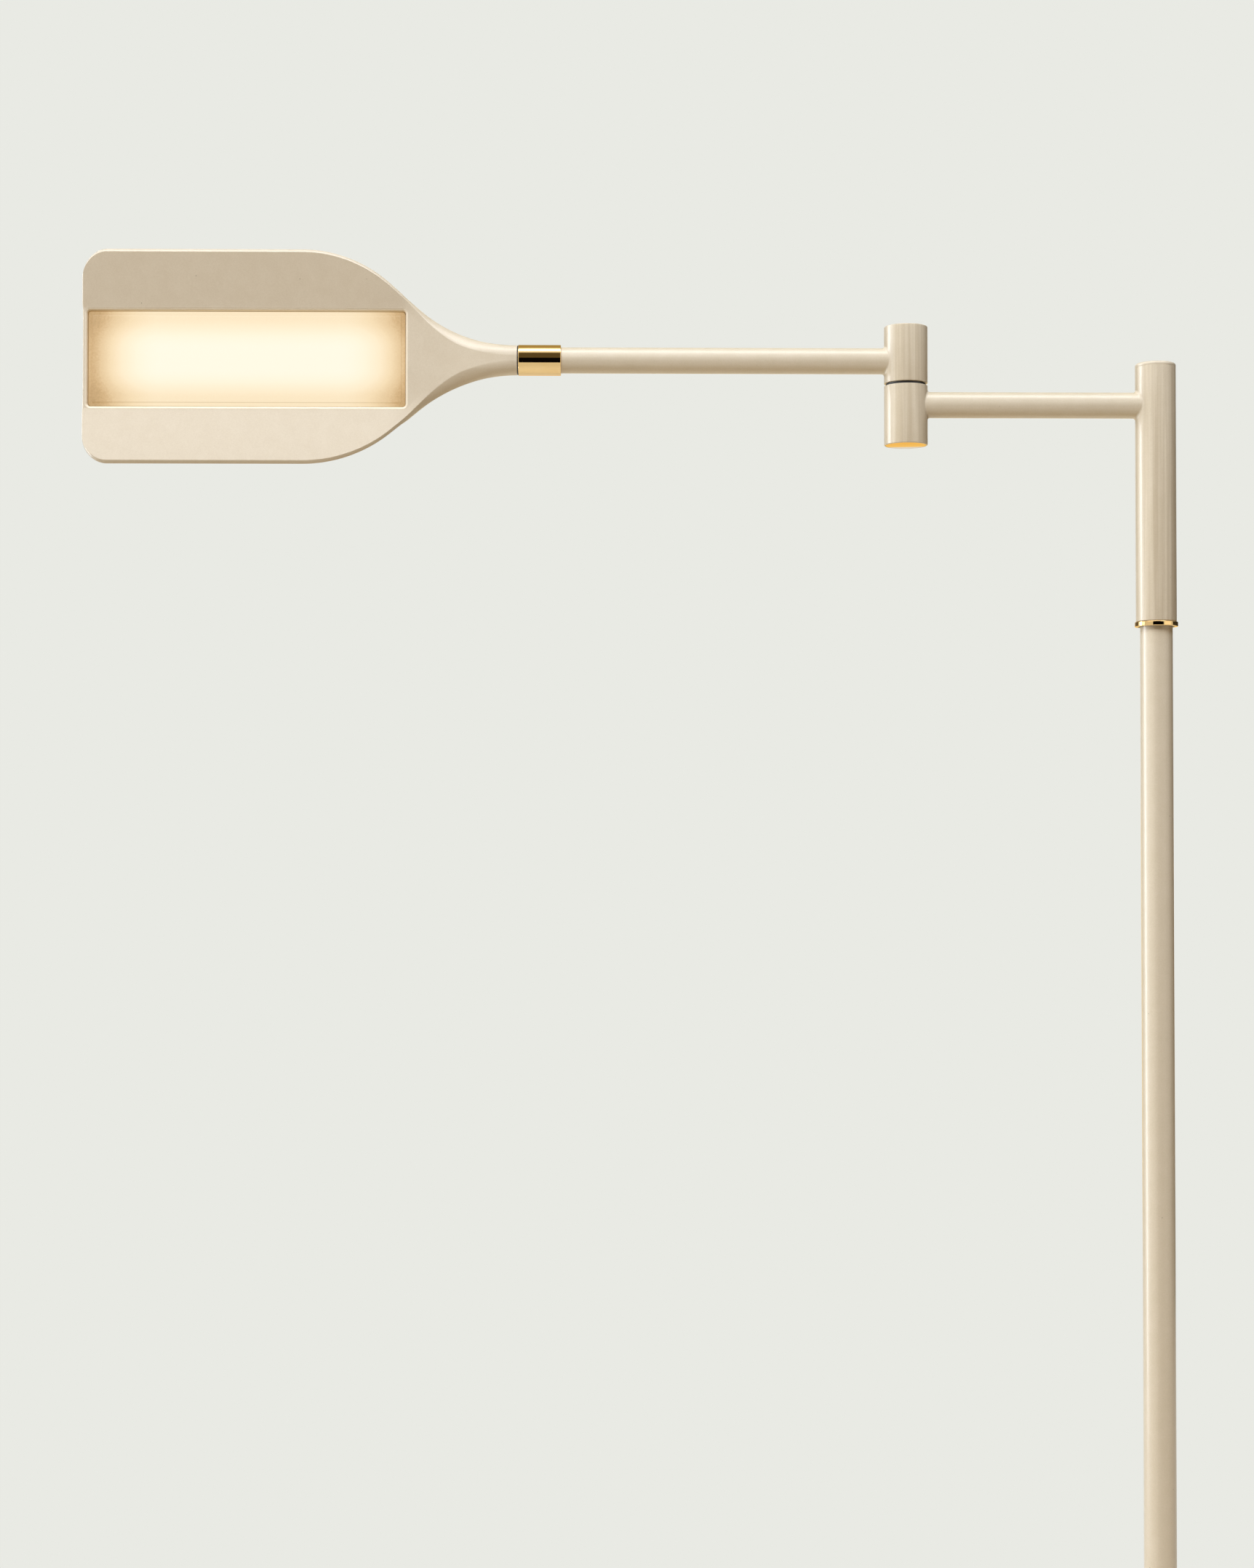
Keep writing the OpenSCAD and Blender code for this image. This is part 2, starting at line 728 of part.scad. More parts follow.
module elbow_pin() {
    head_foot = half_gap + web_t;
    color(steel) at_elbow() difference() {
        union() {
            translate([0, 0, pin_foot]) cylinder(d = pin_d, h = head_foot - pin_foot + eps);
            translate([0, 0, head_foot]) cylinder(d = pin_head_d, h = pin_head_t);
        }
        translate([0, 0, pin_foot - eps])
            cylinder(d = pin_bore, h = head_foot + pin_head_t - pin_foot + 2 * eps);
    }
}

module elbow_washer() {
    color(steel) at_elbow() translate([0, 0, spring_top]) pipe(thrust_d, pin_d, thrust_t);
}

module elbow_spring() {
    inner = pin_d / 2;
    outer = thrust_d / 2 - face_clear;
    color(steel) at_elbow() rotate_extrude() polygon([
        [inner, nut_top],
        [outer, nut_top + spring_h - spring_t],
        [outer, nut_top + spring_h],
        [inner, nut_top + spring_t]
    ]);
}

module elbow_nut() {
    color(steel) at_elbow() translate([0, 0, nut_foot]) hex_nut(elbow_nut_af, pin_d, elbow_nut_t);
}

module upper_arm() {
    color(cream) difference() {
        along_upper(0) pipe(arm_d, arm_bore, upper_reach + collar_socket);
        at_elbow() cylinder(d = cavity_d, h = upper_barrel_h);
    }
}

module head_collar() {
    color(brass) along_upper(upper_reach) difference() {
        cylinder(d = collar_d, h = collar_len);
        translate([0, 0, -eps]) cylinder(d = arm_d, h = collar_socket + eps);
        cylinder(d = spigot_bore, h = collar_len);
        translate([0, 0, collar_socket + collar_web]) cylinder(d = swivel_bush_d, h = collar_len);
        translate([0, 0, collar_len - stop_back]) rotate([-90, 0, 0]) cylinder(d = stop_d, h = collar_d);
    }
}

module swivel_bush() {
    bush_len = collar_end - bush_start;
    color(black) along_upper(bush_start) difference() {
        union() {
            cylinder(d = swivel_bush_d, h = bush_len + eps / 2);
            translate([0, 0, bush_len]) cylinder(d = 2 * neck_half - 2 * face_clear, h = swivel_flange_t);
        }
        translate([0, 0, -eps]) cylinder(d = spigot_d + 2 * run_clear, h = bush_len + 2 * eps);
        translate([0, 0, bush_len - stop_back]) rotate([-90, 0, 0]) cylinder(d = stop_d, h = collar_d);
    }
}

module stop_screw() {
    tip = spigot_d / 2 - stop_depth + stop_clear;
    color(steel) along_upper(stop_at) rotate([-90, 0, 0]) translate([0, 0, tip])
        cylinder(d = stop_d, h = collar_d / 2 - tip - stop_clear);
}

module upper_wire() {
    color(black) wire([
        [elbow_x, 0, gap_z + face_clear],
        [elbow_x, 0, upper_axis_z],
        [elbow_x - bush_start - collar_web, 0, upper_axis_z]
    ], [0, 1, 0]);
}

// ---------- head ----------

module head_spigot() {
    near = bush_start + face_clear;
    far = head_start + spigot_seat;
    blocked = 180 - head_turn - asin((stop_d / 2 + stop_clear) / (spigot_d / 2));
    color(steel) along_upper(near) difference() {
        cylinder(d = spigot_d, h = far - near);
        translate([0, 0, -eps]) cylinder(d = spigot_bore, h = far - near + 2 * eps);
        // Groove for the stop screw, open on all but the front side
        translate([0, 0, stop_at - near - stop_d / 2 - stop_clear]) rotate([0, 0, blocked - 90])
            rotate_extrude(angle = 360 - 2 * blocked)
            translate([spigot_d / 2 - stop_depth, 0]) square([stop_depth + eps, stop_d + 2 * stop_clear]);
    }
}

// Distances from the collar at which the head's shell is given a section
shell_places = concat(
    [for (i = [0:16]) plate_to * i / 16],
    [for (i = [1:6]) mix(plate_to, shoulder_end, i / 6)],
    [head_len - corner_r],
    [for (a = [18, 36, 50, 62, 70, 77, 83, 87.5, 90]) head_len - corner_r * (1 - sin(a))]
);

// Rounded edge of the far end: how much each section is drawn in there
function end_round(u) = arc_drop(end_edge_r, max(0, u - head_len + end_edge_r));

// Closed section of the head's shell at u: one point per step from the front's middle,
// over the upper edge, down the back's middle, and round the lower edge to the front again
function shell_half(u) =
    let(
        round_in = end_round(u),
        h = outline(u),
        p = plated(u),
        edge = mix(flap_t / 2, neck_edge_r, smooth((plate_to - u) / side_fall)),
        rim = h - edge,
        crease = min(crease_z, mix(neck_flat, plate_flat, p) * rim),
        front = round_in
            - mix(neck_half - neck_front_inset, web_front, smooth(u / (flare_end * flat_by))),
        depth = mix(neck_half - neck_back_inset, housing_back, p) - front - round_in,
        thin = mix(depth, flap_t, p),
        lean = tan(flap_tilt) * smooth((u - window_start + lean_lead) / lean_len),
        face = function(z) front - max(0, z - crease) * lean,
        back = function(z) face(z) + mix(depth, thin - 2 * round_in,
            smooth((z - crease) / housing_slope)),
        steps = 6,
        crowding = 1.3,
        across = [for (j = [1:steps]) crease + (rim - crease) * pow(j / steps, crowding)],
        middle = (face(rim) + back(rim)) / 2,
        swell = (back(rim) - face(rim)) / 2
    )
    concat(
        [[0, face(0)], [crease / 2, face(0)], [crease, face(0)]],
        [for (z = across) [z, face(z)]],
        [for (k = [1:5]) [rim + edge * sin(30 * k), middle - swell * cos(30 * k)]],
        [for (j = [steps - 1:-1:0]) let(z = across[j]) [z, back(z)]],
        [[crease, back(0)], [crease / 2, back(0)], [0, back(0)]]
    );

// How far the far end is drawn back at the height z
function tip_draw(u, z) =
    smooth((u - head_len + tip_len) / tip_len)
    * (flap_reach * (1 - smooth((z - crease_z + tip_lead) / tip_blend))
        + flap_rake * max(0, z - crease_z - tip_lead));

function shell_ring(u) =
    let(half = shell_half(u), n = len(half))
    concat(
        [for (q = half) [u - tip_draw(u, q[0]), q[1], q[0]]],
        [for (i = [n - 2:-1:1]) [u - tip_draw(u, half[i][0]), half[i][1], -half[i][0]]]
    );

// The faces that close a ring of n points, in strips between its front and its back
function ring_cap(n, first) =
    let(
        m = n / 2 + 1,
        tip = (m - 1) / 2,
        low = function(i) (n - i) % n,
        strips = concat(
            [for (i = [0:tip - 2]) each [
                [i, i + 1, m - 2 - i, m - 1 - i],
                [low(m - 1 - i), low(m - 2 - i), low(i + 1), low(i)]
            ]],
            [[tip - 1, tip, tip + 1], [low(tip + 1), low(tip), low(tip - 1)]]
        )
    )
    [for (strip = strips) [for (k = strip) first + k]];

function flipped(faces) =
    [for (face = faces) [for (k = [len(face) - 1:-1:0]) face[k]]];

module shell_body() {
    n = len(shell_ring(0));
    last = len(shell_places) - 1;
    polyhedron(
        points = [for (u = shell_places) each shell_ring(u)],
        faces = concat(
            flipped(ring_cap(n, 0)),
            [for (i = [0:last - 1], k = [0:n - 1])
                let(a = i * n + k, b = i * n + (k + 1) % n)
                each [[a, b, b + n], [a, b + n, a + n]]],
            ring_cap(n, last * n)
        ),
        convexity = 8
    );
}

// A window-shaped block that is inset by a margin all round, between two depths
module window_block(inset, front, back, corner) {
    len_x = window_len - 2 * inset;
    len_z = window_h - 2 * inset;
    translate([window_start + inset, back, -len_z / 2]) rotate([90, 0, 0])
        linear_extrude(back - front) {
            translate([corner, 0]) square([len_x - 2 * corner, len_z]);
            translate([0, corner]) square([len_x, len_z - 2 * corner]);
            for (x = [corner, len_x - corner], y = [corner, len_z - corner])
                translate([x, y]) circle(r = corner);
        }
}

// Places of the board screws: near the board's long edges, at its ends and its middle
screw_places = [for (x = [window_start + panel_clear + reflector_wall + screw_inset,
            window_start + window_len / 2,
            window_end - panel_clear - reflector_wall - screw_inset],
        side = [-1, 1])
    [x, side * (window_h / 2 - panel_clear - reflector_wall - screw_inset)]];

module at_screws() {
    for (p = screw_places) translate([p[0], 0, p[1]]) rotate([-90, 0, 0]) children();
}

module head_shell() {
    color(cream) in_head() difference() {
        shell_body();
        window_block(0, -head_half, pocket_floor, window_corner_r);
        translate([-eps, 0, 0]) rotate([0, 90, 0]) cylinder(d = spigot_d, h = spigot_seat + eps);
        translate([0, wire_depth / 2, 0]) rotate([0, 90, 0])
            cylinder(d = neck_channel_d, h = window_start + eps);
        at_screws() cylinder(d = screw_d, h = pocket_floor + screw_bite);
    }
}

module heat_spreader() {
    color(steel) in_head() difference() {
        window_block(panel_clear, board_back, pocket_floor, window_corner_r);
        at_screws() cylinder(d = screw_d, h = pocket_floor + eps);
    }
}

module led_board() {
    color("white") in_head() difference() {
        window_block(panel_clear, board_front, board_back, window_corner_r);
        at_screws() cylinder(d = screw_d, h = board_back + eps);
    }
}

module led_chips() {
    pitch = (window_len - 2 * reflector_wall) / chip_count;
    color(opal) in_head() for (i = [0:chip_count - 1], side = [-1, 1])
        translate([window_start + reflector_wall + pitch * (i + 0.5) - chip_w / 2,
            board_front - chip_t, side * chip_row_pitch / 2 - chip_w / 2])
            cube([chip_w, chip_t, chip_w]);
}

module board_screws() {
    color(steel) in_head() at_screws() {
        translate([0, 0, board_front - screw_head_h]) cylinder(d = screw_head_d, h = screw_head_h);
        translate([0, 0, board_front - eps]) cylinder(d = screw_d, h = pocket_floor + screw_bite
            - board_front + eps);
    }
}

module terminal_block() {
    color("white") in_head() translate([window_start + panel_clear + reflector_wall + face_clear,
        board_front - terminal_h, -terminal_w / 2]) cube([terminal_len, terminal_h, terminal_w]);
}

module reflector_frame() {
    notch = wire_d + 2 * wire_clear;
    color("white") in_head() difference() {
        window_block(panel_clear, diffuser_back, board_front, window_corner_r);
        window_block(panel_clear + reflector_wall, diffuser_back - eps, board_front + eps,
            window_corner_r);
        // Notch for the wire, open at the board
        translate([0, board_front - notch, -notch / 2])
            cube([window_start + panel_clear + reflector_wall + eps, notch + eps, notch]);
    }
}

module diffuser() {
    color(opal) in_head() {
        window_block(panel_clear, diffuser_front + border_step, diffuser_back, window_corner_r);
        window_block(panel_clear + border_w, diffuser_front, diffuser_back, window_corner_r);
    }
}

module head_wire() {
    color(black) in_head() wire([
        [spigot_seat - wire_jog, 0, 0],
        [spigot_seat + face_clear, 0, 0],
        [spigot_seat + wire_jog, wire_depth, 0],
        [window_start + panel_clear + reflector_wall, wire_depth, 0]
    ], [0, 0, 1]);
}

base_weight();
base_cover();
base_pad();
cord_gland();
gland_nut();
post_flange();
post_washer();
post_nut();
post();
post_plug();
post_wire();
sleeve_ring();
ring_collet();
sleeve();
sleeve_cap();
lower_arm();
lower_knuckle();
elbow_bush();
elbow_stop();
elbow_disc();
lower_wire();
upper_knuckle();
knuckle_cap();
elbow_pin();
elbow_washer();
elbow_spring();
elbow_nut();
upper_arm();
head_collar();
swivel_bush();
stop_screw();
upper_wire();
head_spigot();
head_shell();
heat_spreader();
led_board();
led_chips();
board_screws();
terminal_block();
reflector_frame();
diffuser();
head_wire();
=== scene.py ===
import math

import bmesh
import bpy
import numpy as np
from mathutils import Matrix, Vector


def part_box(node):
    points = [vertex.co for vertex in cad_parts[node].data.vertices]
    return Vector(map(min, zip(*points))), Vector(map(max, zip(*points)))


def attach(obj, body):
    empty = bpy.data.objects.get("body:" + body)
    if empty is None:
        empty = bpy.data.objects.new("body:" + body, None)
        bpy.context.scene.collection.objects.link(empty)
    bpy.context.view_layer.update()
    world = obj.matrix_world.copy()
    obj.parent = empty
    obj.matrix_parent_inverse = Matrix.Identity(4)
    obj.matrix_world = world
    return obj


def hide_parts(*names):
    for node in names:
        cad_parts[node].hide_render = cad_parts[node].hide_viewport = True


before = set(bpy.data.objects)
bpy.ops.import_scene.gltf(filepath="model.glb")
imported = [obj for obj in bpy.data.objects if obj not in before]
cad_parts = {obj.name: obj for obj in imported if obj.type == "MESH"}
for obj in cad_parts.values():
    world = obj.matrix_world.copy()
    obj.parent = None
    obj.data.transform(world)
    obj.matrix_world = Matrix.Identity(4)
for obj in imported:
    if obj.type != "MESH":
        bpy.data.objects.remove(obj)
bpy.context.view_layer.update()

MM = 0.001


# ---------- camera ----------

# A step in front of the lamp and below its arms, turned a touch up and to the right
CAMERA_PLACE = (-0.3534, -1.5555, 1.0006)
CAMERA_LENS = 57.6
CAMERA_UP, CAMERA_RIGHT = math.radians(1.22), math.radians(0.87)

camera = bpy.data.objects.new("camera", bpy.data.cameras.new("camera"))
camera.data.lens = CAMERA_LENS
camera.data.sensor_width = 36
camera.location = CAMERA_PLACE
camera.rotation_euler = (math.pi / 2 + CAMERA_UP, 0, -CAMERA_RIGHT)
bpy.context.scene.collection.objects.link(camera)
bpy.context.scene.camera = camera
bpy.context.scene.view_settings.view_transform = "Standard"


# ---------- colours and nodes ----------

def linear(hex_colour):
    """An sRGB hex colour as linear red, green, blue and alpha."""
    parts = [int(hex_colour[i:i + 2], 16) / 255 for i in (1, 3, 5)]
    return [p / 12.92 if p <= 0.04045 else ((p + 0.055) / 1.055) ** 2.4 for p in parts] + [1.0]


def add(tree, kind, inputs=None, **settings):
    """Adds a node to the tree; an input is given a value, or is linked if the value is a socket."""
    made = tree.nodes.new(kind)
    for key, value in settings.items():
        setattr(made, key, value)
    for key, value in (inputs or {}).items():
        if isinstance(value, bpy.types.NodeSocket):
            tree.links.new(value, made.inputs[key])
        else:
            made.inputs[key].default_value = value
    return made


def per_mm(size):
    """Texture scale whose features are about size millimetres across."""
    return 1000 / size


def new_material(name):
    """An empty material: its tree, and coordinates that stay on the piece, in metres."""
    material = bpy.data.materials.new(name)
    material.use_nodes = True
    tree = material.node_tree
    tree.nodes.clear()
    place = add(tree, "ShaderNodeTexCoord").outputs["Object"]
    return material, tree, place


def finish_material(tree, shader):
    """Puts the shader on the surface."""
    add(tree, "ShaderNodeOutputMaterial", {"Surface": shader.outputs[0]})


# Powder coat: polyester powder baked on steel and cast aluminium. A satin skin with a soft
# orange peel, a faint cloudiness of tone and a few dark specks of stray powder.
PEEL_MM = 1.4
CLOUD_MM = 9.0
GRAIN_MM = 0.9
# A speck sits in few of the cells, and is soft at its rim
SPECK_CELL_MM, SPECK_MM, SPECK_SOFT = 7.0, 0.17, 2.2
BARE_CELLS, SPECK_STRENGTH = 0.84, 0.75
# Draw lines of upright tube, drawn 2.6 mm apart, coarser than the real ones, and much longer
STREAK_MM, STREAK_DRAW, STREAK_TONE = 2.6, 0.02, "#A68E66"


def powder_coat(name, colour, shade, speck, roughness, coat, streaks=0.0):
    """Cream coat in two close tones, with specks; streaks says how far the draw lines show."""
    material, tree, place = new_material(name)
    cloud = add(tree, "ShaderNodeTexNoise", {
        "Vector": place, "Scale": per_mm(CLOUD_MM), "Detail": 3.0, "Roughness": 0.55})
    grain = add(tree, "ShaderNodeTexNoise", {
        "Vector": place, "Scale": per_mm(GRAIN_MM), "Detail": 1.0, "Roughness": 0.5})
    tone = add(tree, "ShaderNodeMix", {
        0: 0.55, 2: cloud.outputs["Fac"], 3: grain.outputs["Fac"]}, data_type="FLOAT")
    tone_range = add(tree, "ShaderNodeMapRange", {
        "Value": tone.outputs[0], "From Min": 0.36, "From Max": 0.64, "To Min": 0.0, "To Max": 1.0})
    paint = add(tree, "ShaderNodeMix", {
        0: tone_range.outputs[0], 6: linear(shade), 7: linear(colour)}, data_type="RGBA")
    if streaks:
        drawn = add(tree, "ShaderNodeMapping", {"Vector": place, "Scale": (1, 1, STREAK_DRAW)})
        lines = add(tree, "ShaderNodeTexNoise", {
            "Vector": drawn.outputs[0], "Scale": per_mm(STREAK_MM), "Detail": 2.0, "Roughness": 0.6})
        line_range = add(tree, "ShaderNodeMapRange", {
            "Value": lines.outputs["Fac"], "From Min": 0.38, "From Max": 0.62,
            "To Min": 0.0, "To Max": streaks})
        paint = add(tree, "ShaderNodeMix", {
            0: line_range.outputs[0], 6: paint.outputs[2], 7: linear(STREAK_TONE)}, data_type="RGBA")
    cell = add(tree, "ShaderNodeTexVoronoi", {
        "Vector": place, "Scale": per_mm(SPECK_CELL_MM), "Randomness": 1.0})
    near = add(tree, "ShaderNodeMapRange", {
        "Value": cell.outputs["Distance"], "From Min": SPECK_MM / SPECK_CELL_MM,
        "From Max": SPECK_SOFT * SPECK_MM / SPECK_CELL_MM, "To Min": 1.0, "To Max": 0.0})
    pick = add(tree, "ShaderNodeSeparateColor", {"Color": cell.outputs["Color"]})
    chosen = add(tree, "ShaderNodeMath", {
        0: pick.outputs["Red"], 1: BARE_CELLS}, operation="GREATER_THAN")
    strength = add(tree, "ShaderNodeMath", {
        0: near.outputs[0], 1: chosen.outputs[0]}, operation="MULTIPLY")
    faint = add(tree, "ShaderNodeMath", {
        0: strength.outputs[0], 1: SPECK_STRENGTH}, operation="MULTIPLY")
    specked = add(tree, "ShaderNodeMix", {
        0: faint.outputs[0], 6: paint.outputs[2], 7: linear(speck)}, data_type="RGBA")
    peel = add(tree, "ShaderNodeTexNoise", {
        "Vector": place, "Scale": per_mm(PEEL_MM), "Detail": 2.0, "Roughness": 0.45})
    bump = add(tree, "ShaderNodeBump", {
        "Strength": 0.10, "Distance": 0.04 * MM, "Height": peel.outputs["Fac"]})
    sheen = add(tree, "ShaderNodeMapRange", {
        "Value": cloud.outputs["Fac"], "From Min": 0.3, "From Max": 0.7,
        "To Min": roughness - 0.01, "To Max": roughness + 0.02})
    shader = add(tree, "ShaderNodeBsdfPrincipled", {
        "Base Color": specked.outputs[2], "Roughness": sheen.outputs[0], "IOR": 1.5,
        "Coat Weight": coat, "Coat Roughness": 0.2, "Coat IOR": 1.5,
        "Normal": bump.outputs[0], "Coat Normal": bump.outputs[0]})
    finish_material(tree, shader)
    return material


# Brass: bar turned on a lathe, polished and lacquered. Bright warm reflections, a faint patina
# and hair-fine turning lines round the bar, drawn at 0.25 mm, coarser than the real ones.
TURNING_MM = 0.25
PATINA_MM = 7.0


def polished_brass(name, along):
    """Turned brass whose turning lines stack up along the given axis, 0 to 2."""
    material, tree, place = new_material(name)
    split = add(tree, "ShaderNodeSeparateXYZ", {"Vector": place})
    lines = add(tree, "ShaderNodeTexNoise", {
        "W": split.outputs[along], "Scale": per_mm(TURNING_MM), "Detail": 2.0}, noise_dimensions="1D")
    patina = add(tree, "ShaderNodeTexNoise", {
        "Vector": place, "Scale": per_mm(PATINA_MM), "Detail": 3.0})
    tint = add(tree, "ShaderNodeMix", {
        0: patina.outputs["Fac"], 6: linear("#EBC384"), 7: linear("#F0CD95")}, data_type="RGBA")
    bump = add(tree, "ShaderNodeBump", {
        "Strength": 0.05, "Distance": 0.01 * MM, "Height": lines.outputs["Fac"]})
    gloss = add(tree, "ShaderNodeMapRange", {
        "Value": lines.outputs["Fac"], "From Min": 0.3, "From Max": 0.7,
        "To Min": 0.04, "To Max": 0.07})
    shader = add(tree, "ShaderNodeBsdfPrincipled", {
        "Base Color": tint.outputs[2], "Metallic": 1.0, "Roughness": gloss.outputs[0],
        "Normal": bump.outputs[0]})
    finish_material(tree, shader)
    return material


def plain_stock(name, colour, second, feature_mm, roughness, metallic=0.0, peak=0.02, stretch=(1, 1, 1)):
    """Stock finish: two close tones and a fine relief, both of one grain that may be drawn out."""
    material, tree, place = new_material(name)
    drawn = add(tree, "ShaderNodeMapping", {"Vector": place, "Scale": stretch})
    grain = add(tree, "ShaderNodeTexNoise", {
        "Vector": drawn.outputs[0], "Scale": per_mm(feature_mm), "Detail": 3.0})
    tint = add(tree, "ShaderNodeMix", {
        0: grain.outputs["Fac"], 6: linear(colour), 7: linear(second)}, data_type="RGBA")
    bump = add(tree, "ShaderNodeBump", {
        "Strength": 0.4, "Distance": peak * MM, "Height": grain.outputs["Fac"]})
    gloss = add(tree, "ShaderNodeMapRange", {
        "Value": grain.outputs["Fac"], "From Min": 0.3, "From Max": 0.7,
        "To Min": roughness - 0.05, "To Max": roughness + 0.05})
    shader = add(tree, "ShaderNodeBsdfPrincipled", {
        "Base Color": tint.outputs[2], "Metallic": metallic, "Roughness": gloss.outputs[0],
        "Normal": bump.outputs[0]})
    finish_material(tree, shader)
    return material


# Cream powder coat on rolled steel tube and pressed sheet
steel_paint = powder_coat(
    "cream_powder_coat_on_steel", "#DED0B9", "#D9CBB2", "#7A6C54", roughness=0.30, coat=0.4)
# The same coat on the upright tubes of sleeve and elbow, whose draw lines tell through it
upright_paint = powder_coat(
    "cream_powder_coat_on_upright_tube", "#DED0B9", "#D9CBB2", "#7A6C54",
    roughness=0.30, coat=0.4, streaks=0.28)
# The same coat on the cast aluminium head: a slightly flatter sheen over the cast skin
casting_paint = powder_coat(
    "cream_powder_coat_on_casting", "#DCCEB7", "#D7C8B0", "#7A6C54", roughness=0.38, coat=0.35)
# The window's edge has a smoother coat in a paler tone, a painted highlight along its rounded rim
painted_highlight_edge_paint = powder_coat(
    "cream_powder_coat_with_painted_edge_highlight", "#F0E2CA", "#EBDCC3", "#B8AB92", roughness=0.30, coat=0.5)
# The same brass, turned with its axis upright or level
brass_upright = polished_brass("turned_lacquered_brass_upright", 2)
brass_level = polished_brass("turned_lacquered_brass_level", 0)

# Each slot of the record, with the finish that its plain nodes take
finishes = {
    "cream_paint": steel_paint,
    "cream_casting": casting_paint,
    "polished_brass": brass_upright,
    # Grey iron, sand-cast and dipped in black primer: coarse, matt and slightly uneven
    "cast_iron": plain_stock(
        "sand_cast_iron_in_black_primer", "#2E2D2C", "#3A3836", 1.6, roughness=0.72, peak=0.12),
    # Wool felt, pressed: a dark fibrous mat
    "felt": plain_stock(
        "pressed_wool_felt", "#3B3733", "#57514A", 0.7, roughness=0.93, peak=0.25, stretch=(1, 1, 0.35)),
    # Nylon 66, moulded or turned: dark, with a waxy low gloss
    "black_nylon": plain_stock("moulded_black_nylon", "#1D1D1F", "#29292B", 0.5, roughness=0.46),
    # Steel, turned and zinc plated: pale grey, with faint blue-grey cloudiness
    "plated_steel": plain_stock(
        "zinc_plated_turned_steel", "#B4B6BA", "#C6C7C6", 2.2, roughness=0.27, metallic=1.0, peak=0.01),
    # Silicone rubber jacket, extruded: matt, with a fine even grain
    "wire_jacket": plain_stock("extruded_silicone_jacket", "#26262A", "#323237", 0.4, roughness=0.58),
    # Aluminium sheet, rolled: bright grey, with the grain of rolling along the head
    "aluminium": plain_stock(
        "rolled_aluminium_sheet", "#B9BCBF", "#CFD1D2", 0.6, roughness=0.34, metallic=1.0, peak=0.01,
        stretch=(0.05, 1, 1)),
    # Glass-epoxy laminate under white solder mask: even, slightly glossy
    "white_laminate": plain_stock(
        "white_masked_glass_epoxy", "#E6E8E4", "#F0F1EE", 0.8, roughness=0.35),
    # Polycarbonate, moulded white: a fine spark-eroded grain
    "white_plastic": plain_stock(
        "moulded_white_polycarbonate", "#E9E7E1", "#F2F0EB", 0.35, roughness=0.5),
}


# ---------- mesh making ----------

# Edges sharper than this stay crisp; points nearer than this, in metres, become one
SHADE_ANGLE = math.radians(32)
SAME_PLACE = 1e-7


def clean(mesh):
    """Joins points that share a place, which drops faces without area, and turns faces outwards."""
    shape = bmesh.new()
    shape.from_mesh(mesh)
    bmesh.ops.remove_doubles(shape, verts=shape.verts, dist=SAME_PLACE)
    bmesh.ops.recalc_face_normals(shape, faces=shape.faces)
    shape.to_mesh(mesh)
    shape.free()


def solid_mesh(name, points_mm, faces):
    """A clean mesh from points in millimetres."""
    mesh = bpy.data.meshes.new(name)
    mesh.from_pydata([[c * MM for c in p] for p in points_mm], [], faces)
    clean(mesh)
    return mesh


def make_piece(name, points_mm, faces, material, body, slot, stands_for=()):
    """A piece with its shading, material and body, and the nodes that it stands for. The slot is not used.
    """
    piece = bpy.data.objects.new(name, solid_mesh(name, points_mm, faces))
    bpy.context.scene.collection.objects.link(piece)
    shade(piece.data)
    piece.data.materials.append(material)
    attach(piece, body)
    if stands_for:
        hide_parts(*stands_for)
    return piece


def shade(mesh):
    """Shades a mesh smooth, but for its sharp edges."""
    mesh.shade_smooth()
    mesh.set_sharp_from_angle(angle=SHADE_ANGLE)


def rounded(profile, steps=5):
    """A closed outline of (x, y, radius) corners, each corner rounded off by an arc."""
    points = []
    for i, (x, y, r) in enumerate(profile):
        if r <= 0:
            points.append((x, y))
            continue
        b = np.array([x, y], float)
        p = np.array(profile[i - 1][:2], float) - b
        q = np.array(profile[(i + 1) % len(profile)][:2], float) - b
        p /= np.linalg.norm(p)
        q /= np.linalg.norm(q)
        half = math.acos(max(-1, min(1, float(p @ q)))) / 2
        hub = b + (p + q) / np.linalg.norm(p + q) * r / math.sin(half)
        start, end = b + p * r / math.tan(half) - hub, b + q * r / math.tan(half) - hub
        sweep = math.pi - 2 * half
        for k in range(steps + 1):
            t = sweep * k / steps
            at = hub + (start * math.sin(sweep - t) + end * math.sin(t)) / math.sin(sweep)
            points.append(tuple(at))
    return points


def turned(outline, centre, along="z", segments=128, start=0.0, sweep=360.0):
    """Points and faces of a closed (radius, distance) outline turned about an axis."""
    whole = sweep >= 360
    count = segments if whole else segments + 1
    points, faces, n = [], [], len(outline)
    for k in range(count):
        a = math.radians(start + sweep * k / segments)
        for r, s in outline:
            c, d = r * math.cos(a), r * math.sin(a)
            local = (c, d, s) if along == "z" else (-s, c, d)
            points.append([centre[i] + local[i] for i in range(3)])
    for k in range(segments):
        a, b = k * n, ((k + 1) % count) * n
        for i in range(n):
            j = (i + 1) % n
            on_axis = outline[i][0] < 1e-9, outline[j][0] < 1e-9
            if all(on_axis):
                continue
            if on_axis[0]:
                faces.append([a + i, a + j, b + j])
            elif on_axis[1]:
                faces.append([a + i, a + j, b + i])
            else:
                faces.append([a + i, a + j, b + j, b + i])
    if not whole:
        faces += [list(range(n)), list(range((count - 1) * n, count * n))]
    return points, faces


def cutter(points_mm, faces):
    """A loose solid that is only used to cut another one."""
    solid = bpy.data.objects.new("cutter", solid_mesh("cutter", points_mm, faces))
    bpy.context.scene.collection.objects.link(solid)
    return solid


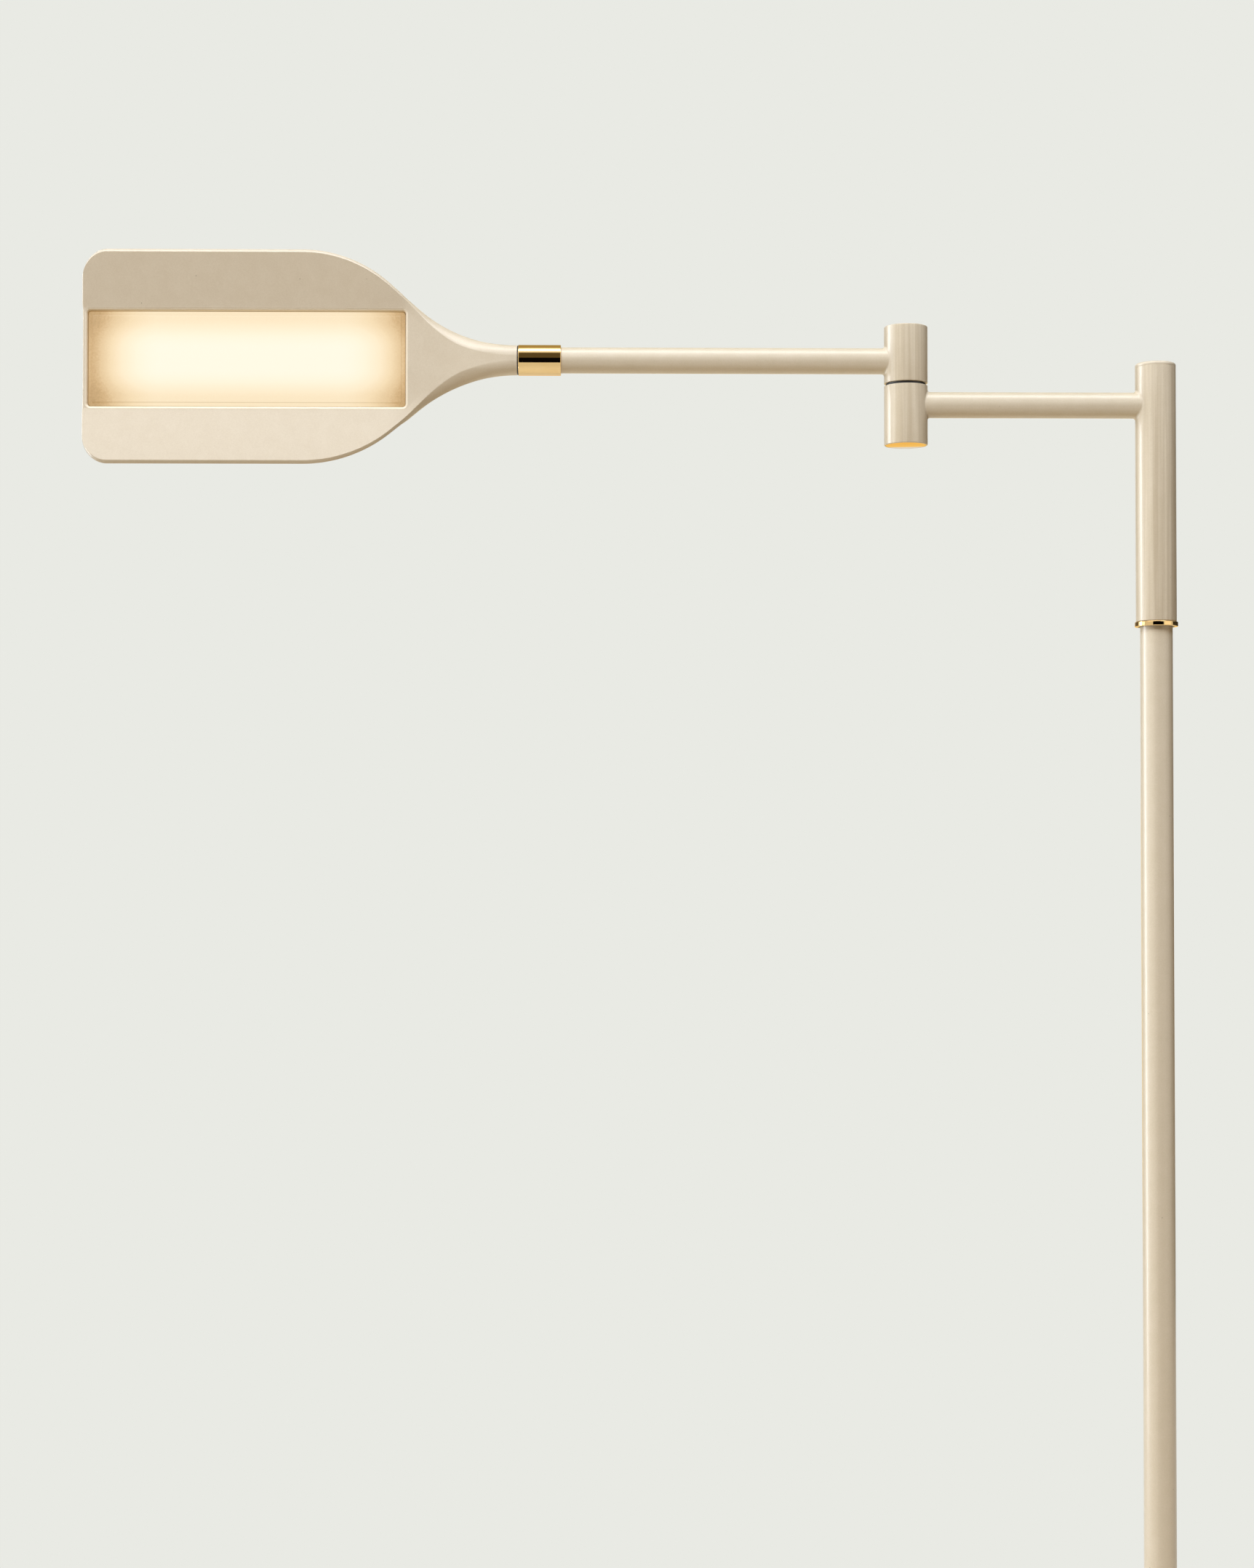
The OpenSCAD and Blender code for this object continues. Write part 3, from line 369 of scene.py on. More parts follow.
def cut(piece, *cutters):
    """Cuts each solid out of the piece, for good."""
    for solid in cutters:
        boolean = piece.modifiers.new("cut", "BOOLEAN")
        boolean.operation = "DIFFERENCE"
        boolean.solver = "EXACT"
        boolean.object = solid
        bpy.context.view_layer.update()
        made = bpy.data.meshes.new_from_object(
            piece.evaluated_get(bpy.context.evaluated_depsgraph_get()))
        piece.modifiers.clear()
        old, piece.data = piece.data, made
        made.name = old.name
        bpy.data.meshes.remove(old)
        loose = solid.data
        bpy.data.objects.remove(solid)
        bpy.data.meshes.remove(loose)
    clean(piece.data)
    shade(piece.data)


def rod(start, end, radius, segments=64):
    """Points and faces of a straight round bar between two points."""
    a, b = np.array(start, float), np.array(end, float)
    way = (b - a) / np.linalg.norm(b - a)
    side = np.cross(way, (0, 0, 1) if abs(way[2]) < 0.9 else (1, 0, 0))
    side /= np.linalg.norm(side)
    up = np.cross(way, side)
    points = []
    for end_point in (a, b):
        for k in range(segments):
            t = 2 * math.pi * k / segments
            points.append(end_point + radius * (math.cos(t) * side + math.sin(t) * up))
    faces = [[k, (k + 1) % segments, segments + (k + 1) % segments, segments + k]
             for k in range(segments)]
    faces += [list(range(segments)), list(range(segments, 2 * segments))]
    return points, faces


def box_mm(node):
    """Lowest and highest corner of a CAD node, in millimetres."""
    low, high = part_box(node)
    return np.array(low) / MM, np.array(high) / MM


# ---------- places, from the CAD nodes ----------

low, high = box_mm("lower_knuckle")
ELBOW_X = (low[0] + high[0]) / 2
LOWER_BARREL_FOOT, LOWER_BARREL_TOP = low[2], high[2]
low, high = box_mm("upper_knuckle")
UPPER_BARREL_FOOT, UPPER_BARREL_TOP = low[2], high[2]
low, high = box_mm("lower_arm")
LOWER_ARM_Z = (low[2] + high[2]) / 2
ARM_R = (high[2] - low[2]) / 2
low, high = box_mm("upper_arm")
UPPER_ARM_Z = (low[2] + high[2]) / 2
low, high = box_mm("head_collar")
COLLAR_START, COLLAR_END = high[0], low[0]
low, high = box_mm("sleeve")
SLEEVE_FOOT, SLEEVE_SEAM = low[2], high[2]
low, high = box_mm("sleeve_cap")
SLEEVE_TOP, SLEEVE_CAP_FOOT = high[2], low[2]
low, high = box_mm("sleeve_ring")
RING_FOOT, RING_TOP = low[2], high[2]
low, high = box_mm("elbow_disc")
DISC_FOOT, DISC_TOP = low[2], high[2]
DISC_R = (high[0] - low[0]) / 2
low, high = box_mm("post_flange")
FLANGE_FOOT, FLANGE_TOP = low[2], high[2]
COVER_TOP = box_mm("base_cover")[1][2]
POST_FOOT = box_mm("post")[0][2]
HEAD_START = box_mm("head_shell")[1][0]

# Radii of the turned pieces
SLEEVE_R, SLEEVE_BORE_R = 12.5, 11.3
RING_R, GUIDE_R = 13.3, 11.25
BARREL_R, CAVITY_R = 13.5, 11.0
BUSH_R, PIN_R = 7.05, 6.0
# How snugly an upright's hole fits its arm, the foot's recess its disc, and the cap its barrel
ARM_FIT, DISC_FIT, CAP_FIT = 0.02, 0.05, 0.06
# Thickness of the wall between the barrels' cavities
WEB = LOWER_BARREL_TOP - box_mm("elbow_bush")[0][2]
# Thickness of the disc's flange, let into the barrel's foot
DISC_T = 1.6
# Place and radius of the elbow's stop dowel, and the clearance round it
DOWEL_PLACE_R, DOWEL_R, STOP_CLEAR = 9.3, 1.5, 0.3
# Half of the angle that the dowel can't swing through, in degrees
BLOCKED_HALF = 30
# Outside this radius the elbow's two faces stand back a little, which makes the dark gap
LAND_R, STAND_BACK = 11.3, 0.2


# ---------- sleeve, ring and cap ----------

sleeve_outline = rounded([
    (SLEEVE_BORE_R, SLEEVE_FOOT, 0.2), (SLEEVE_R, SLEEVE_FOOT, 0.4),
    (SLEEVE_R, SLEEVE_SEAM, 0.18), (SLEEVE_BORE_R, SLEEVE_SEAM, 0)])
sleeve_tube = make_piece("sleeve_tube", *turned(sleeve_outline, (0, 0, 0)),
                         upright_paint, "lower_arm", "cream_paint", ["sleeve"])
cut(sleeve_tube, cutter(*rod((0, 0, LOWER_ARM_Z), (-2 * SLEEVE_R, 0, LOWER_ARM_Z), ARM_R - ARM_FIT)))

cap_outline = rounded([
    (0, SLEEVE_CAP_FOOT, 0), (SLEEVE_BORE_R, SLEEVE_CAP_FOOT, 0.3),
    (SLEEVE_BORE_R, SLEEVE_SEAM, 0), (SLEEVE_R, SLEEVE_SEAM, 0.18),
    (SLEEVE_R, SLEEVE_TOP, 1.5), (0, SLEEVE_TOP, 0)])
make_piece("sleeve_end_cap", *turned(cap_outline, (0, 0, 0)),
           steel_paint, "lower_arm", "cream_paint", ["sleeve_cap"])

ring_outline = rounded([
    (GUIDE_R, RING_FOOT, 0), (RING_R, RING_FOOT, 0.5),
    (RING_R, RING_TOP, 0.5), (GUIDE_R, RING_TOP, 0)])
make_piece("brass_height_ring", *turned(ring_outline, (0, 0, 0)),
           brass_upright, "height_ring", "polished_brass", ["sleeve_ring"])


# ---------- elbow ----------

LOWER_WEB_FOOT = LOWER_BARREL_TOP - WEB
lower_outline = rounded([
    (CAVITY_R, DISC_FOOT + DISC_T, 0), (DISC_R + DISC_FIT, DISC_FOOT + DISC_T, 0),
    (DISC_R + DISC_FIT, LOWER_BARREL_FOOT, 0.15), (BARREL_R, LOWER_BARREL_FOOT, 0.5),
    (BARREL_R, LOWER_BARREL_TOP - STAND_BACK, 0.3), (LAND_R, LOWER_BARREL_TOP - STAND_BACK, 0),
    (LAND_R, LOWER_BARREL_TOP, 0), (BUSH_R, LOWER_BARREL_TOP, 0),
    (BUSH_R, LOWER_WEB_FOOT, 0), (CAVITY_R, LOWER_WEB_FOOT, 0)])
lower_barrel = make_piece("lower_elbow_barrel", *turned(lower_outline, (ELBOW_X, 0, 0)),
                          upright_paint, "lower_arm", "cream_paint", ["lower_knuckle"])
low, high = box_mm("elbow_stop")
cut(lower_barrel,
    cutter(*rod((ELBOW_X, 0, LOWER_ARM_Z), (ELBOW_X + 2 * BARREL_R, 0, LOWER_ARM_Z), ARM_R - ARM_FIT)),
    cutter(*rod((ELBOW_X + DOWEL_PLACE_R, 0, low[2]), (ELBOW_X + DOWEL_PLACE_R, 0, high[2]),
                DOWEL_R, segments=32)))

UPPER_WEB_TOP = UPPER_BARREL_FOOT + WEB
upper_outline = rounded([
    (PIN_R, UPPER_BARREL_FOOT, 0), (LAND_R, UPPER_BARREL_FOOT, 0),
    (LAND_R, UPPER_BARREL_FOOT + STAND_BACK, 0), (BARREL_R, UPPER_BARREL_FOOT + STAND_BACK, 0.3),
    (BARREL_R, UPPER_BARREL_TOP, 0.6), (CAVITY_R, UPPER_BARREL_TOP, 0.25),
    (CAVITY_R, UPPER_WEB_TOP, 0), (PIN_R, UPPER_WEB_TOP, 0)])
upper_barrel = make_piece("upper_elbow_barrel", *turned(upper_outline, (ELBOW_X, 0, 0)),
                          upright_paint, "upper_arm", "cream_paint", ["upper_knuckle"])
# The dowel's groove is open on all but the side that the arm lies on
groove_half = DOWEL_R + STOP_CLEAR
groove_foot, groove_top = UPPER_BARREL_FOOT - 0.5, high[2] + STOP_CLEAR
half_block = BLOCKED_HALF - math.degrees(math.asin(groove_half / DOWEL_PLACE_R))
groove = [(DOWEL_PLACE_R - groove_half, groove_foot), (DOWEL_PLACE_R + groove_half, groove_foot),
          (DOWEL_PLACE_R + groove_half, groove_top), (DOWEL_PLACE_R - groove_half, groove_top)]
cut(upper_barrel,
    cutter(*rod((ELBOW_X, 0, UPPER_ARM_Z), (ELBOW_X - 2 * BARREL_R, 0, UPPER_ARM_Z), ARM_R - ARM_FIT)),
    cutter(*turned(groove, (ELBOW_X, 0, 0), segments=96, start=half_block - 180,
                   sweep=360 - 2 * half_block)))

CAP_FOOT = box_mm("knuckle_cap")[0][2]
make_piece("elbow_top_cap", *turned(rounded([
    (0, CAP_FOOT, 0), (CAVITY_R - CAP_FIT, CAP_FOOT, 0),
    (CAVITY_R - CAP_FIT, UPPER_BARREL_TOP, 0.3), (0, UPPER_BARREL_TOP, 0)]), (ELBOW_X, 0, 0)),
    steel_paint, "upper_arm", "cream_paint", ["knuckle_cap"])

make_piece("elbow_brass_disc", *turned(rounded([
    (0, DISC_FOOT, 0), (DISC_R, DISC_FOOT, 0.2), (DISC_R, DISC_FOOT + DISC_T, 0),
    (CAVITY_R, DISC_FOOT + DISC_T, 0), (CAVITY_R, DISC_TOP, 0.3), (0, DISC_TOP, 0)]), (ELBOW_X, 0, 0)),
    brass_level, "lower_arm", "polished_brass", ["elbow_disc"])


# ---------- welds where the arms meet the round posts ----------

# Radius of the bead's hollow face, and how far its back lies behind the corner
WELD_R, WELD_ROOT = 1.6, 0.3


def weld(name, post_x, post_r, arm_z, side, body, size=WELD_R, steps=6, segments=96):
    """The concave bead between an arm along X and an upright of radius post_r.

    A ball of radius size rolls in the corner; the bead is the surface that it leaves.
    """
    points, faces = [], []
    for k in range(segments):
        a = 2 * math.pi * k / segments
        y, z = (ARM_R + size) * math.cos(a), (ARM_R + size) * math.sin(a)
        x = math.sqrt((post_r + size) ** 2 - y * y)
        hub = np.array([x, y, z])
        on_arm = np.array([x, ARM_R * math.cos(a), ARM_R * math.sin(a)])
        on_post = np.array([x * post_r / (post_r + size), y * post_r / (post_r + size), z])
        p, q = (on_arm - hub) / size, (on_post - hub) / size
        sweep = math.acos(max(-1, min(1, float(p @ q))))
        for i in range(steps + 1):
            t = sweep * i / steps
            points.append(hub + size * (p * math.sin(sweep - t) + q * math.sin(t)) / math.sin(sweep))
        # Back of the bead, in the corner and just under both surfaces
        corner = size / math.cos(sweep / 2) + WELD_ROOT
        points.append(hub + corner * (p + q) / float(np.linalg.norm(p + q)))
    n = steps + 2
    for k in range(segments):
        a, b = k * n, ((k + 1) % segments) * n
        for i in range(n):
            j = (i + 1) % n
            faces.append([a + i, a + j, b + j, b + i])
    placed = [(post_x + side * p[0], p[1], arm_z + p[2]) for p in points]
    make_piece(name, placed, faces, steel_paint, body, "cream_paint")


weld("weld_sleeve_to_arm", 0, SLEEVE_R, LOWER_ARM_Z, -1, "lower_arm")
weld("weld_arm_to_lower_barrel", ELBOW_X, BARREL_R, LOWER_ARM_Z, 1, "lower_arm")
weld("weld_upper_barrel_to_arm", ELBOW_X, BARREL_R, UPPER_ARM_Z, -1, "upper_arm")


# ---------- collar ----------

COLLAR_R, COLLAR_LEN, COLLAR_EDGE = 9.5, COLLAR_START - COLLAR_END, 0.45
# The arm ends in a socket; past a thin web with the wire's hole comes the swivel's seat
SOCKET_DEEP, SEAT_FROM, SEAT_R, WIRE_HOLE_R, STOP_HOLE_R = 8, 10, 6.95, 2.5, 1.5
collar_outline = rounded([
    (ARM_R, 0, 0), (COLLAR_R, 0, COLLAR_EDGE), (COLLAR_R, COLLAR_LEN, COLLAR_EDGE),
    (SEAT_R, COLLAR_LEN, 0), (SEAT_R, SEAT_FROM, 0), (WIRE_HOLE_R, SEAT_FROM, 0),
    (WIRE_HOLE_R, SOCKET_DEEP, 0), (ARM_R, SOCKET_DEEP, 0)])
collar = make_piece("brass_swivel_collar",
                    *turned(collar_outline, (COLLAR_START, 0, UPPER_ARM_Z), "x"),
                    brass_level, "upper_arm", "polished_brass", ["head_collar"])
low, high = box_mm("stop_screw")
screw_x = (low[0] + high[0]) / 2
cut(collar, cutter(*rod((screw_x, 0, UPPER_ARM_Z), (screw_x, 2 * COLLAR_R, UPPER_ARM_Z),
                        STOP_HOLE_R, segments=32)))


# ---------- post foot ----------

# A boss through the cover, a flange that lies on it, and a socket that holds the post
BOSS_R, BOSS_BORE_R, FLANGE_R, FLANGE_T, SOCKET_R, POST_R = 11, 7.5, 30, 5, 14, 10
foot_outline = rounded([
    (BOSS_BORE_R, FLANGE_FOOT, 0), (BOSS_R, FLANGE_FOOT, 0.4),
    (BOSS_R, COVER_TOP, 0), (FLANGE_R, COVER_TOP, 0.3),
    (FLANGE_R, COVER_TOP + FLANGE_T, 1.2), (SOCKET_R, COVER_TOP + FLANGE_T, 2.5),
    (SOCKET_R, FLANGE_TOP, 1.0), (POST_R, FLANGE_TOP, 0.3),
    (POST_R, POST_FOOT, 0), (BOSS_BORE_R, POST_FOOT, 0)])
make_piece("post_foot", *turned(foot_outline, (0, 0, 0)),
           steel_paint, "base", "cream_paint", ["post_flange"])


# ---------- head ----------

# Seen from the front, the neck flares out to a shoulder; straight sides end in round corners
HEAD_LEN, HEAD_HALF, NECK_HALF = 268.96, 66.4, 9.2
FLARE_R, SHOULDER_R, FLARE_ANGLE, CORNER_R = 94.0, 82.6, math.radians(40.5), 16.2
FLARE_END = FLARE_R * math.sin(FLARE_ANGLE)
FLANK_END = FLARE_END + ((HEAD_HALF - NECK_HALF - (FLARE_R + SHOULDER_R) * (1 - math.cos(FLARE_ANGLE)))
                         / math.tan(FLARE_ANGLE))
SHOULDER_END = FLANK_END + SHOULDER_R * math.sin(FLARE_ANGLE)
WINDOW_LEN, WINDOW_H, WINDOW_RIM, WINDOW_CORNER = 196.6, 59.5, 3.2, 1.8
WINDOW_END = HEAD_LEN - WINDOW_RIM
WINDOW_START = WINDOW_END - WINDOW_LEN
# Rounding of the window's edge, across and into the web
WINDOW_EDGE, EDGE_DEEP = 1.5, 2.0
# In section, two flaps lean forward from a flat web, which has the housing on its back
FLAP_LEAN, FLAP_T = math.tan(math.radians(14)), 4.0
WEB_FRONT, HOUSING_BACK, HOUSING_SLOPE = 4.0, 10.0, 9.0
# Where web and flaps bend, and how softly
CREASE, CREASE_SOFT = WINDOW_H / 2 + 1.2, 0.7
# The flat's largest share of the half section, at the neck's root and where the plate is full
NECK_FLAT, PLATE_FLAT = 0.55, 0.86
# How far the round neck is flattened in front and behind, and the flare's share that this takes
FRONT_CUT, BACK_CUT, CUT_SHARE = 0.5, 0.2, 0.8
# The neck becomes a plate between these places; its edge thins, and the flaps begin to lean
PLATE_FROM, PLATE_FULL = 12.0, WINDOW_START + 4.0
NECK_EDGE, EDGE_FALL = 7.7, 39.0
LEAN_FROM, LEAN_LEN = WINDOW_START - 18.0, 28.0
# The front face ends in a crisp line all along the edge; the line fades out at the neck's root.
# The edge's curve has the power 2 where it is round, and these two where it is crisp.
CRISP_FROM, CRISP_LEN = 6.0, 28.0
CRISP_IN, CRISP_OUT = 1.6, 1.15
# The far end: rounding of its edge, how far the flaps stand out past the web, and their rake,
# and over which length and heights this comes about
END_EDGE = 0.8
FLAP_REACH, FLAP_RAKE = 0.3, 0.05
TIP_LEN, TIP_INSIDE, TIP_BLEND, RAKE_FROM = 24.0, 2, 6, 4
# Rings of points along the neck, the shoulder, the sides and the corners
NECK_RINGS, SHOULDER_RINGS, SIDE_RINGS, CORNER_RINGS = 56, 30, 24, 28


def mix(a, b, t):
    """From a at 0 to b at 1."""
    return a + (b - a) * t


def smooth(t):
    """A soft step from 0 to 1."""
    t = min(1.0, max(0.0, t))
    return t * t * (3 - 2 * t)


def arc_drop(r, x):
    """How far an arc of radius r has dropped from its top at the distance x."""
    return r - math.sqrt(max(0.0, r * r - x * x))


def head_outline(u):
    """Half of the head's height at the distance u from the collar."""
    if u < FLARE_END:
        return NECK_HALF + arc_drop(FLARE_R, u)
    if u < FLANK_END:
        return (NECK_HALF + arc_drop(FLARE_R, FLARE_END)
                + (u - FLARE_END) * math.tan(FLARE_ANGLE))
    if u < SHOULDER_END:
        return HEAD_HALF - arc_drop(SHOULDER_R, SHOULDER_END - u)
    return HEAD_HALF - arc_drop(CORNER_R, max(0.0, u - HEAD_LEN + CORNER_R))


def head_half_section(u, web=6, flap=18, nose=12):
    """(height, depth) points from the front's middle over the upper edge to the back's middle."""
    drawn_in = arc_drop(END_EDGE, max(0.0, u - HEAD_LEN + END_EDGE))
    h = head_outline(u)
    p = smooth((u - PLATE_FROM) / (PLATE_FULL - PLATE_FROM))
    crisp = smooth((u - CRISP_FROM) / CRISP_LEN)
    edge = mix(FLAP_T / 2, NECK_EDGE, smooth((PLATE_FULL - u) / EDGE_FALL))
    rim = h - edge
    crease = min(CREASE, mix(NECK_FLAT, PLATE_FLAT, p) * rim)
    front = drawn_in - mix(NECK_HALF - FRONT_CUT, WEB_FRONT, smooth(u / (FLARE_END * CUT_SHARE)))
    depth = mix(NECK_HALF - BACK_CUT, HOUSING_BACK, p) - front - drawn_in
    thin = mix(depth, FLAP_T, p) - 2 * drawn_in * p
    lean = FLAP_LEAN * smooth((u - LEAN_FROM) / LEAN_LEN)

    def face(z):
        past = z - crease
        return front - (past + math.hypot(past, CREASE_SOFT)) / 2 * lean

    def back(z):
        return face(z) + mix(depth, thin, smooth((z - crease) / HOUSING_SLOPE))

    # On the flap the points crowd towards the crease
    heights = [crease * k / web for k in range(web)]
    heights += [crease + (rim - crease) * (k / flap) ** 1.5 for k in range(flap + 1)]
    middle, swell = (face(rim) + back(rim)) / 2, (back(rim) - face(rim)) / 2
    points = [(z, face(z)) for z in heights]
    for k in range(1, nose):
        t = math.cos(math.pi * k / nose)
        bulge = (1 - abs(t) ** mix(2, CRISP_IN, crisp)) ** (1 / mix(2, CRISP_OUT, crisp))
        points.append((rim + edge * bulge, middle - swell * t))
    points += [(z, back(z)) for z in reversed(heights)]
    return points


def tip_draw(u, z):
    """How far the far end is drawn back at the height z: the flaps stand out past the web."""
    past = abs(z) - CREASE + TIP_INSIDE
    return (smooth((u - HEAD_LEN + TIP_LEN) / TIP_LEN)
            * (FLAP_REACH * (1 - smooth(past / TIP_BLEND)) + FLAP_RAKE * max(0.0, past - RAKE_FROM)))


def head_point(u, y, z):
    """A place on the head, u from the collar, y behind the arm's axis and z above it."""
    return (HEAD_START - u, y, UPPER_ARM_Z + z)


def head_rings():
    """Distances from the collar at which the casting has a ring of points."""
    places = list(np.linspace(0, PLATE_FULL, NECK_RINGS))
    places += list(np.linspace(PLATE_FULL, SHOULDER_END, SHOULDER_RINGS))[1:]
    places += list(np.linspace(SHOULDER_END, HEAD_LEN - CORNER_R, SIDE_RINGS))[1:]
    places += [HEAD_LEN - CORNER_R * (1 - math.sin(math.pi / 2 * k / CORNER_RINGS))
               for k in range(1, CORNER_RINGS + 1)]
    return places


def head_mesh():
    """Points and faces of the casting: rings along it, and ends of faces from flap to flap."""
    points, faces = [], []
    places = head_rings()
    for u in places:
        half = head_half_section(u)
        ring = half + [(-z, y) for z, y in half[-2:0:-1]]
        points += [head_point(u - tip_draw(u, z), y, z) for z, y in ring]
    n = len(ring)
    for i in range(len(places) - 1):
        for k in range(n):
            a, b = i * n + k, i * n + (k + 1) % n
            faces.append([a, b, b + n, a + n])
    m = n // 2
    for first in (0, (len(places) - 1) * n):
        for i in range(m // 2):
            if m - i - (i + 1) > 1:
                faces.append([first + i, first + i + 1, first + m - i - 1, first + m - i])
                faces.append([first + (n - i) % n, first + n - i - 1,
                              first + m + i + 1, first + (m + i) % n])
            else:
                faces.append([first + i, first + i + 1, first + m - i])
                faces.append([first + (n - i) % n, first + n - i - 1, first + m + i])
    return points, faces


TIGHTEST_R = 0.2


def window_loop(grow, y, steps=8):
    """The window's rounded outline, grown by grow millimetres, at depth y."""
    r = max(TIGHTEST_R, WINDOW_CORNER + grow)
    u0, u1, z1 = WINDOW_START - grow, WINDOW_END + grow, WINDOW_H / 2 + grow
    loop = []
    for cu, cz, start in ((u1 - r, z1 - r, 0), (u0 + r, z1 - r, 90),
                          (u0 + r, r - z1, 180), (u1 - r, r - z1, 270)):
        for k in range(steps + 1):
            a = math.radians(start + 90 * k / steps)
            loop.append(head_point(cu + r * math.cos(a), y, cz + r * math.sin(a)))
    return loop


def stacked(loops, ring_shaped=False):
    """Points and faces of a solid through loops of as many points each, with ends or as a ring."""
    n, points, faces = len(loops[0]), [p for loop in loops for p in loop], []
    for i in range(len(loops) - (0 if ring_shaped else 1)):
        a, b = i * n, ((i + 1) % len(loops)) * n
        for k in range(n):
            faces.append([a + k, a + (k + 1) % n, b + (k + 1) % n, b + k])
    if not ring_shaped:
        faces += [list(range(n)), list(range((len(loops) - 1) * n, len(loops) * n))]
    return points, faces


POCKET_FLOOR = box_mm("heat_spreader")[1][1]
SPIGOT_R, SPIGOT_DEEP = 5.5, HEAD_START - box_mm("head_spigot")[0][0]
# A depth well in front of the head, where the window's cutters start
AHEAD = -30
head_casting = make_piece("head_casting", *head_mesh(),
                          casting_paint, "head", "cream_casting", ["head_shell"])
cut(head_casting,
    cutter(*stacked([window_loop(0, AHEAD), window_loop(0, POCKET_FLOOR)])),
    cutter(*stacked([window_loop(WINDOW_EDGE, AHEAD), window_loop(WINDOW_EDGE, EDGE_DEEP - WEB_FRONT)])),
    cutter(*rod(head_point(-1, 0, 0), head_point(SPIGOT_DEEP, 0, 0), SPIGOT_R)))

# Quarter-round edge of the window
EDGE_STEPS = 6
edge_loops = []
for k in range(EDGE_STEPS + 1):
    t = math.pi / 2 * k / EDGE_STEPS
    edge_loops.append(window_loop(WINDOW_EDGE * (1 - math.sin(t)),
                                  -WEB_FRONT + EDGE_DEEP * (1 - math.cos(t))))
edge_loops.append(window_loop(WINDOW_EDGE, EDGE_DEEP - WEB_FRONT))
# Its paler coat is a painted highlight along the window's rim
make_piece("window_edge", *stacked(edge_loops, ring_shaped=True),
           painted_highlight_edge_paint, "head", "cream_casting")


# ---------- light panel ----------

low, high = box_mm("diffuser")
PANEL_FRONT, PANEL_BACK = low[1], high[1]
# The panel's face stands proud of a lower border; both have rounded edges
PANEL_CLEAR, BORDER, STEP = 0.3, 2.2, 0.8
BORDER_EDGE_R, FACE_EDGE_R = 0.4, 0.75
# The diodes sit a little nearer to the neck than the panel's middle. From there their light
# holds up to the first distance, along and across the head, and is down to END_LIGHT or
# SIDE_LIGHT at the second.
GLOW_SHIFT = 2.5
GLOW_ALONG, GLOW_ACROSS = (55, 99), (6, 25)
END_LIGHT, SIDE_LIGHT = 0.05, 0.36
glow_middle = head_point((WINDOW_START + WINDOW_END) / 2 - GLOW_SHIFT, 0, 0)
# Tone of the panel by how much light reaches it: the less, the warmer
GLOW_TONES = ((0.0, "#B28E5C"), (0.05, "#CFAC7A"), (0.10, "#E3C597"), (0.23, "#F5DDB4"),
              (0.43, "#FEEDCC"), (0.73, "#FEF7DD"), (1.0, "#FEFBE7"))
OPAL_GRAIN_MM = 1.2


def opal_acrylic(name):
    """Opal acrylic, cast and milled: it glows evenly in the middle and falls off to the ends."""
    material, tree, place = new_material(name)
    offset = add(tree, "ShaderNodeVectorMath", {
        0: place, 1: [c * MM for c in glow_middle]}, operation="SUBTRACT")
    split = add(tree, "ShaderNodeSeparateXYZ", {"Vector": offset.outputs[0]})
    along = add(tree, "ShaderNodeMath", {0: split.outputs["X"]}, operation="ABSOLUTE")
    across = add(tree, "ShaderNodeMath", {0: split.outputs["Z"]}, operation="ABSOLUTE")
    end_fall = add(tree, "ShaderNodeMapRange", {
        "Value": along.outputs[0], "From Min": GLOW_ALONG[0] * MM, "From Max": GLOW_ALONG[1] * MM,
        "To Min": 1.0, "To Max": END_LIGHT}, interpolation_type="SMOOTHSTEP")
    side_fall = add(tree, "ShaderNodeMapRange", {
        "Value": across.outputs[0], "From Min": GLOW_ACROSS[0] * MM, "From Max": GLOW_ACROSS[1] * MM,
        "To Min": 1.0, "To Max": SIDE_LIGHT}, interpolation_type="SMOOTHSTEP")
    glow = add(tree, "ShaderNodeMath", {
        0: end_fall.outputs[0], 1: side_fall.outputs[0]}, operation="MULTIPLY")
    grain = add(tree, "ShaderNodeTexNoise", {
        "Vector": place, "Scale": per_mm(OPAL_GRAIN_MM), "Detail": 2.0})
    uneven = add(tree, "ShaderNodeMapRange", {
        "Value": grain.outputs["Fac"], "From Min": 0.3, "From Max": 0.7,
        "To Min": -0.012, "To Max": 0.012})
    level = add(tree, "ShaderNodeMath", {
        0: glow.outputs[0], 1: uneven.outputs[0]}, operation="ADD")
    warmth = add(tree, "ShaderNodeValToRGB", {"Fac": level.outputs[0]})
    stops = warmth.color_ramp.elements
    for position, _ in GLOW_TONES[1:-1]:
        stops.new(position)
    for stop, (_, colour) in zip(stops, GLOW_TONES):
        stop.color = linear(colour)
    # The light leaves through the front face, so the rounded steps and the edge glow less; their mix
    # towards dark amber also paints shade lines along the steps
    turn = add(tree, "ShaderNodeSeparateXYZ", {"Vector": add(tree, "ShaderNodeTexCoord").outputs["Normal"]})
    painted_step_shade = add(tree, "ShaderNodeMapRange", {
        "Value": turn.outputs["Y"], "From Min": -0.97, "From Max": -0.4, "To Min": 0.0, "To Max": 0.45})
    glow_and_painted_shade = add(tree, "ShaderNodeMix", {
        0: painted_step_shade.outputs[0], 6: warmth.outputs[0], 7: linear("#8A6E3C")}, data_type="RGBA")
    bump = add(tree, "ShaderNodeBump", {
        "Strength": 0.1, "Distance": 0.02 * MM, "Height": grain.outputs["Fac"]})
    shader = add(tree, "ShaderNodeBsdfPrincipled", {
        "Base Color": linear("#5A5145"), "Roughness": 0.35, "IOR": 1.49,
        "Emission Color": glow_and_painted_shade.outputs[2], "Emission Strength": 0.91, "Normal": bump.outputs[0]})
    finish_material(tree, shader)
    return material


finishes["opal_diffuser"] = opal_acrylic("opal_acrylic_sheet")
# Light-emitting diodes under yellow phosphor gel: matt warm yellow squares
finishes["phosphor"] = plain_stock(
    "phosphor_gel_over_diodes", "#F2C94C", "#F7D977", 0.5, roughness=0.4)


